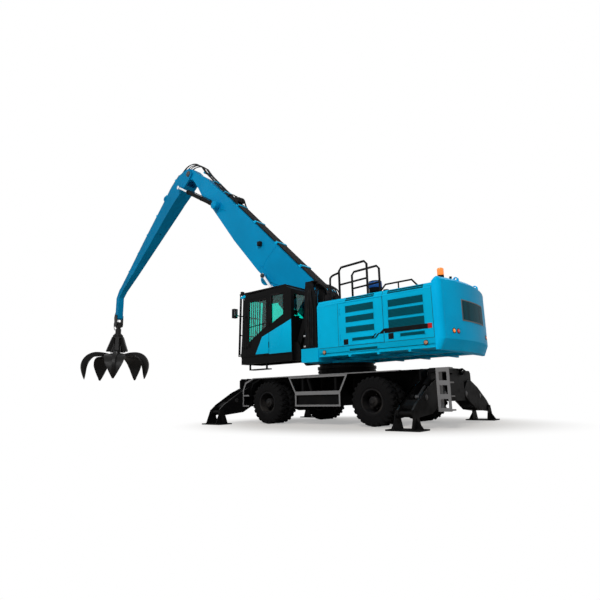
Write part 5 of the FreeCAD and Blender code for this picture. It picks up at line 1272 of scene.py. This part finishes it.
    def pins(self):
        for name, place, half, radius, body, finish in (
            ("boom_tip_cap", BOOM_TIP, 268, 120, "stick", "bolt_steel"),
            ("stick_eye_cap", STICK_EYE, 308, 70, "stick", "bolt_steel"),
            ("stick_base_cap", STICK_BASE, 510, 150, "boom", "boom_paint"),
            ("lift_eye_cap", LIFT_EYE, 470, 70, "boom", "bolt_steel"),
        ):
            cap = Shape()
            for side in (-1, 1):
                cap.turned([(0.1, 0), (radius, 0), (radius, 14), (radius - 12, 22), (0.1, 22)],
                           (place[0], side * half, place[1]), (0, side, 0), 40)
                for k in range(4):
                    angle = k * math.pi / 2 + 0.4
                    hexagon(cap, (place[0] + radius * 0.6 * math.cos(angle), side * (half + 20),
                                  place[1] + radius * 0.6 * math.sin(angle)), (0, side, 0), 10, 8)
            cap.done(name, body, finish)


class HANDLER_OT_grab(bpy.types.Operator):
    """Fits the hoses, collars and bolts of the grab"""
    bl_idname = "handler.grab"
    bl_label = "Grab"

    def execute(self, context):
        x, z = STICK_TIP
        spans = (
            ("swing_hoses", "stick", "grab_link",
             ((-112, 45, 320), (-205, 70, 240), (-250, 90, 30), (-215, 95, -170))),
            ("sway_hoses", "grab_link", "grab_yoke",
             ((-215, 95, -170), (-225, 105, -360), (-190, 80, -560), (-90, 40, -540))),
        )
        for name, upper, lower, places in spans:
            hoses = Shape()
            for side, spread in ((-1, 1.0), (1, 0.8)):
                hoses.tube(rounded([at(x + dx, side * y * spread, z + dz) for dx, y, dz in places], 8), 14,
                           10)
            first = places[0]
            last = places[-1]
            bridge = (lower, at(x + first[0], 0, z + first[2]), at(x + last[0], 0, z + last[2]))
            hoses.done(name, upper, "hose_rubber", smooth=60, bridge=bridge)
        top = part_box("grab_head")[1].z / MM
        collar = Shape()
        collar.turned([(212, -160), (226, -160), (230, -130), (226, -100), (212, -100)], (x, 0, top),
                      (0, 0, 1), 48)
        collar.turned([(212, -60), (222, -60), (222, -12), (212, -12)], (x, 0, top), (0, 0, 1), 48)
        collar.done("head_collars", "grab_head", "cast_steel", bevel=3)
        bolts = Shape()
        hexagon(bolts, (x + 188, 0, top - 1), (0, 0, 1), 13, 12)
        repeated(bolts, "head_bolts", "grab_head", "bolt_steel", 16, turn=(0, 0, 1), centre=(x, 0, top))
        return {"FINISHED"}


class HANDLER_OT_chassis(bpy.types.Operator):
    """Fits bolts, hoses, deck plates and pin caps on the chassis and stabilisers"""
    bl_idname = "handler.chassis"
    bl_label = "Chassis"

    def execute(self, context):
        teeth = Shape()
        teeth.plan([(786, -14), (786, 14), (812, 8), (812, -8)], 1440, 1492)
        repeated(teeth, "ring_teeth", "chassis", "cast_steel", 90, turn=(0, 0, 1), centre=(0, 0, 1440))
        bolts = Shape()
        hexagon(bolts, (742, 0, 1424), (0, 0, 1), 14, 12)
        repeated(bolts, "ring_bolts", "chassis", "bolt_steel", 48, turn=(0, 0, 1), centre=(0, 0, 1424))
        # Pale strips along the deck's side edges: a painted highlight where the edges catch the light.
        edge = Shape()
        for side in (-1, 1):
            edge.box(-2350, 2330, side * 1350, side * 1356, 1226, 1249)
        edge.done("deck_edges", "chassis", "edge_paint", bevel=2)
        self.grip()
        for name, (x, side) in STABILISERS.items():
            self.stabiliser(name, x, side)
        return {"FINISHED"}

    def grip(self):
        """Raised bars of the deck's tread plate."""
        bar = Shape()
        for x, y, lean in ((-2300, 560, -1), (-2245, 615, 1)):
            bar.plan([(x - 16, y - lean * 16), (x + 16, y + lean * 16), (x + 12, y + lean * 24),
                      (x - 20, y - lean * 8)], 1248, 1254)
        row = repeated(bar, "grip_row", "chassis", "chassis_paint", 6, step=(0, 125, 0))
        again = Shape()
        again.mesh.from_mesh(row.data)
        bpy.data.objects.remove(row)
        repeated(again, "tread_plate_right", "chassis", "chassis_paint", 41, step=(112, 0, 0))
        left = Shape()
        left.mesh.from_mesh(bpy.data.objects["tread_plate_right"].data)
        bmesh.ops.scale(left.mesh, vec=(1, -1, 1), verts=left.mesh.verts)
        left.done("tread_plate_left", "chassis", "chassis_paint")

    def stabiliser(self, name, x, side):
        arm = "stabiliser_arm_" + name
        caps = Shape()
        for way in (-1, 1):
            for y, z in ((620, 700), (2120, 330)):
                caps.turned([(0.1, 0), (66, 0), (66, 12), (56, 18), (0.1, 18)],
                            (x + way * 187, side * y, z), (way, 0, 0), 32)
                hexagon(caps, (x + way * 204, side * y, z + 38), (way, 0, 0), 10, 8)
            caps.turned([(0.1, 0), (58, 0), (58, 10), (0.1, 14)], (x + way * 187, side * 1560, 640),
                        (way, 0, 0), 32)
        caps.done("pin_caps_" + name, arm, "bolt_steel", bevel=2)
        edges = Shape()
        line = [(790, 1008), (1010, 1020), (1440, 850), (2030, 520), (2180, 400)]
        for start in (-186, 146):
            for near, far in zip(line, line[1:]):
                edges.hull(*([at(x + start, side * y, z), at(x + start + 40, side * y, z),
                              at(x + start + 40, side * y, z + 5), at(x + start, side * y, z + 5)]
                             for y, z in (near, far)))
        edges.done("arm_edges_" + name, arm, "cast_steel")
        hose = Shape()
        line = ((700, 1235), (820, 1250), (930, 1200), (960, 1120), (930, 1078))
        for shift in (-24, 24):
            hose.tube(rounded([at(x + shift, side * y, z) for y, z in line], 8), 11, 10)
        hose.done("jack_hoses_" + name, "stabiliser_barrel_" + name, "hose_rubber", smooth=60)


class HANDLER_OT_upper(bpy.types.Operator):
    """Fits the lines, cylinder glands and caps on the mast and the lift arms"""
    bl_idname = "handler.upper"
    bl_label = "Mast and lift"

    def execute(self, context):
        lines = Shape()
        for i, y in enumerate((-1180, -1130, -1080, -780, -730)):
            lines.tube(rounded([at(-60, y, 1960), at(-80, y, 2500), at(-120 - 12 * i, y, 3000),
                                at(-150, y * 0.98, 3400), at(-170, y * 0.9, 3640)], 8), 15, 10)
        for i in range(4):
            y = -1300 - 18 * (i % 2)
            x = -330 + 62 * i
            lines.tube(rounded([at(x, y, 2000), at(x + 10, y - 6, 2500), at(x + 14, y, 3000),
                                at(x * 0.5 - 110, y + 4, 3420), at(x * 0.4 - 140, -1200, 3660)], 8), 14, 10)
        lines.done("mast_hoses", "upper", "hose_rubber", smooth=60)
        self.deck_hoses()
        box = Shape()
        box.box(-410, -80, -1250, -700, 3722, 3766)
        box.box(-330, -180, -1120, -840, 3760, 3812)
        box.done("mast_cover", "upper", "chassis_paint", bevel=10)
        lens = Shape()
        for z in (1980, 2260):
            lens.box(-470, -400, -1296, -1291, z, z + 46)
        lens.done("mast_marks", "upper", "pipe_steel", bevel=3)
        base = Shape()
        base.turned([(0.1, 0), (96, 0), (96, 20), (60, 40), (60, 130), (0.1, 130)],
                    (1180, 330, ROOF + 300), (0, 0, 1), 40)
        base.done("reservoir_cap", "upper", "pipe_steel", bevel=4)
        cap = Shape()
        cap.turned([(0.1, 0), (176, 0), (180, 16), (176, 150), (150, 190), (0.1, 198)],
                   (1240, -330, ROOF + 360), (0, 0, 1), 56)
        cap.done("intake_cap", "upper", "cap_blue", bevel=3)
        self.beacon()
        self.glands("lift", "boom_cylinder_barrels", LIFT_BASE, LIFT_EYE, 0.62)
        self.glands("stick", "stick_cylinder_barrels", STICK_BASE, STICK_EYE, 0.74)
        sleeves = Shape()
        for side in (-1, 1):
            sleeves.turned([(122, 0), (152, 0), (152, 176), (122, 176)],
                           (STICK_BASE[0], side * 328, STICK_BASE[1]), (0, side, 0), 48)
        sleeves.done("stick_base_sleeves", "stick_cylinder_barrels", "boom_paint", bevel=4)
        return {"FINISHED"}

    def deck_hoses(self):
        """Hoses and valves between the mast's head and the housing, beside the boom's foot."""
        hoses = Shape()
        for i in range(6):
            y = -1120 + 78 * i
            low = -1080 + 70 * i
            hoses.tube(rounded([at(-190, y, 3650), at(-40, y, 3700 + 14 * (i % 2)),
                                at(150 + 24 * i, low, 3540), at(260 + 20 * i, low, 3330),
                                at(230 + 16 * i, low, ROOF + 6)], 8), 19, 10)
        hoses.done("deck_hoses", "upper", "hose_rubber", smooth=60)
        valves = Shape()
        for x, y, high in ((300, -1160, 200), (470, -1000, 150), (330, -830, 230)):
            valves.box(x - 70, x + 70, y - 60, y + 60, ROOF - 4, ROOF + high)
            valves.rod((x, y, ROOF + high - 4), (x, y, ROOF + high + 70), 34)
        valves.done("deck_valves", "upper", "seal_rubber", bevel=8)

    def beacon(self):
        foot = Shape()
        foot.turned([(0.1, 0), (70, 0), (74, 10), (70, 40), (56, 46), (0.1, 46)], (3330, -1000, 3268),
                    (0, 0, 1), 40)
        foot.done("beacon_foot", "upper", "seal_rubber")
        lens = Shape()
        lens.turned([(0.1, 0), (70, 0), (74, 10), (74, 152), (62, 168), (32, 178), (0.1, 182)],
                    (3330, -1000, 3308), (0, 0, 1), 48)
        lens.done("beacon_lens", "upper", "amber_lens")

    def glands(self, kind, body, start, end, share):
        """Collars and a pipe on a pair of barrels, which take a share of the cylinder's length."""
        radius = BARREL_RADIUS
        length = math.hypot(end[0] - start[0], end[1] - start[1])
        rings = Shape()
        way = (end[0] - start[0], 0, end[1] - start[1])
        for side in (-1, 1):
            for part, wide, long in ((share, 12, 70), (share * 0.5, 8, 40), (0.16, 8, 40)):
                x, z = along(start, end, length * part - long)
                rings.turned([(radius - 4, 0), (radius + wide, 4), (radius + wide, long - 4),
                              (radius - 4, long)], (x, side * CYLINDER_SIDE, z), way, 40)
            near = along(start, end, length * 0.14, radius + 22)
            far = along(start, end, length * (share - 0.06), radius + 22)
            rings.tube([at(near[0], side * CYLINDER_SIDE, near[1]), at(far[0], side * CYLINDER_SIDE, far[1])],
                       13, 10)
        rings.done(kind + "_cylinder_glands", body, "chassis_paint", bevel=2)


class HANDLER_OT_stage(bpy.types.Operator):
    """Lays the floor, the sky and the lamps, and sets up the camera"""
    bl_idname = "handler.stage"
    bl_label = "Stage"

    def execute(self, context):
        scene = context.scene
        scene.view_settings.view_transform = "Standard"
        self.floor()
        self.sky(scene)
        self.lamps()
        self.camera(scene)
        return {"FINISHED"}

    def seen_white(self, tree):
        """Shows plain white to the camera, to mirrors and through glass."""
        rays = tree.nodes.new("ShaderNodeLightPath").outputs
        last = rays["Is Camera Ray"]
        for name in ("Is Glossy Ray", "Is Transmission Ray"):
            most = tree.nodes.new("ShaderNodeMath")
            most.operation = "MAXIMUM"
            tree.links.new(last, most.inputs[0])
            tree.links.new(rays[name], most.inputs[1])
            last = most.outputs[0]
        return last

    def floor(self):
        mesh = bpy.data.meshes.new("floor")
        size = 80
        corners = ((-size, -size), (size, -size), (size, size), (-size, size))
        mesh.from_pydata([(x, y, -0.002) for x, y in corners], [], [(0, 1, 2, 3)])
        floor = new_object("floor", mesh)
        finish = Finish("pale_floor", (0.9, 0.9, 0.9), 0.8)
        speck = finish.noise(0.6, 2)
        finish.set("Base Color", finish.mix(speck, (0.6, 0.55, 0.5), (0.64, 0.59, 0.54)))
        around = finish.node("ShaderNodeVectorMath", {"operation": "SUBTRACT"},
                             {0: finish.place, 1: (AXIS_X + 0.3, 0, 0)})
        oval = finish.node("ShaderNodeVectorMath", {"operation": "MULTIPLY"}, {0: around, 1: (0.8, 1, 1)})
        far = finish.node("ShaderNodeVectorMath", {"operation": "LENGTH"}, {0: oval}, "Value")
        seen = finish.node("ShaderNodeLightPath", output="Is Camera Ray")
        share = finish.band(far, 2.2, 4.6, 0.35, 1.0) * seen
        white = finish.node("ShaderNodeEmission", {}, {"Color": (1, 1, 1, 1), "Strength": 1.0})
        both = finish.node("ShaderNodeMixShader", {}, {0: share, 2: white})
        finish.tree.links.new(finish.shader.outputs[0], both.socket.node.inputs[1])
        finish.tree.links.new(both.socket, finish.tree.nodes["Material Output"].inputs["Surface"])
        floor.data.materials.append(finish.material)

    def sky(self, scene):
        world = bpy.data.worlds.new("studio")
        scene.world = world
        world.use_nodes = True
        tree = world.node_tree
        tree.nodes.clear()
        output = tree.nodes.new("ShaderNodeOutputWorld")
        choice = tree.nodes.new("ShaderNodeMixShader")
        for place, strength in ((1, 0.22), (2, 1)):
            light = tree.nodes.new("ShaderNodeBackground")
            light.inputs["Color"].default_value = (1, 1, 1, 1)
            light.inputs["Strength"].default_value = strength
            tree.links.new(light.outputs[0], choice.inputs[place])
        tree.links.new(self.seen_white(tree), choice.inputs[0])
        tree.links.new(choice.outputs[0], output.inputs[0])

    def lamps(self):
        for name, place, aim, size, power in (
            ("key", (13, -20, 18), (3, 0, 3), 8, 3700),
            ("fill", (-12, -16, 18), (0, 0, 4), 10, 700),
            ("rim", (6, 20, 18), (2, 0, 4), 12, 700),
        ):
            lamp = bpy.data.lights.new(name, "AREA")
            lamp.size = size
            lamp.energy = power
            holder = new_object(name, lamp)
            holder.location = place
            holder.rotation_euler = (Vector(aim) - Vector(place)).to_track_quat("-Z", "Y").to_euler()

    def camera(self, scene):
        chosen = scene.handler_camera
        data = bpy.data.cameras.new("camera")
        data.lens = chosen.lens
        data.sensor_width = 36
        data.clip_end = 200
        camera = new_object("camera", data)
        turn = (Matrix.Rotation(chosen.heading, 4, "Z")
                @ Matrix.Rotation(math.pi / 2 + chosen.pitch, 4, "X")
                @ Matrix.Rotation(chosen.roll, 4, "Z"))
        camera.matrix_world = Matrix.Translation(Vector(chosen.place)) @ turn
        scene.camera = camera


class HANDLER_PT_panel(bpy.types.Panel):
    """Lists the steps that dress the handler"""
    bl_label = "Material handler"
    bl_space_type = "VIEW_3D"
    bl_region_type = "UI"
    bl_category = "Handler"

    def draw(self, context):
        for step in STEPS:
            self.layout.operator(step.bl_idname)
        for group in (context.scene.handler_colours, context.scene.handler_sizes,
                      context.scene.handler_camera):
            for name in group.__annotations__:
                self.layout.prop(group, name)


GROUPS = {"handler_colours": HandlerColours, "handler_sizes": HandlerSizes, "handler_camera": HandlerCamera}
STEPS = (HANDLER_OT_finishes, HANDLER_OT_stage, HANDLER_OT_wheels, HANDLER_OT_housing, HANDLER_OT_weight,
         HANDLER_OT_cab, HANDLER_OT_arm, HANDLER_OT_grab, HANDLER_OT_chassis, HANDLER_OT_upper)


def register():
    for kind in (*GROUPS.values(), *STEPS, HANDLER_PT_panel):
        bpy.utils.register_class(kind)
    for name, group in GROUPS.items():
        setattr(bpy.types.Scene, name, PointerProperty(type=group))


def unregister():
    for name in GROUPS:
        delattr(bpy.types.Scene, name)
    for kind in reversed((*GROUPS.values(), *STEPS, HANDLER_PT_panel)):
        bpy.utils.unregister_class(kind)


def main():
    register()
    for step in STEPS:
        group, name = step.bl_idname.split(".")
        getattr(getattr(bpy.ops, group), name)()


if __name__ == "__main__":
    main()
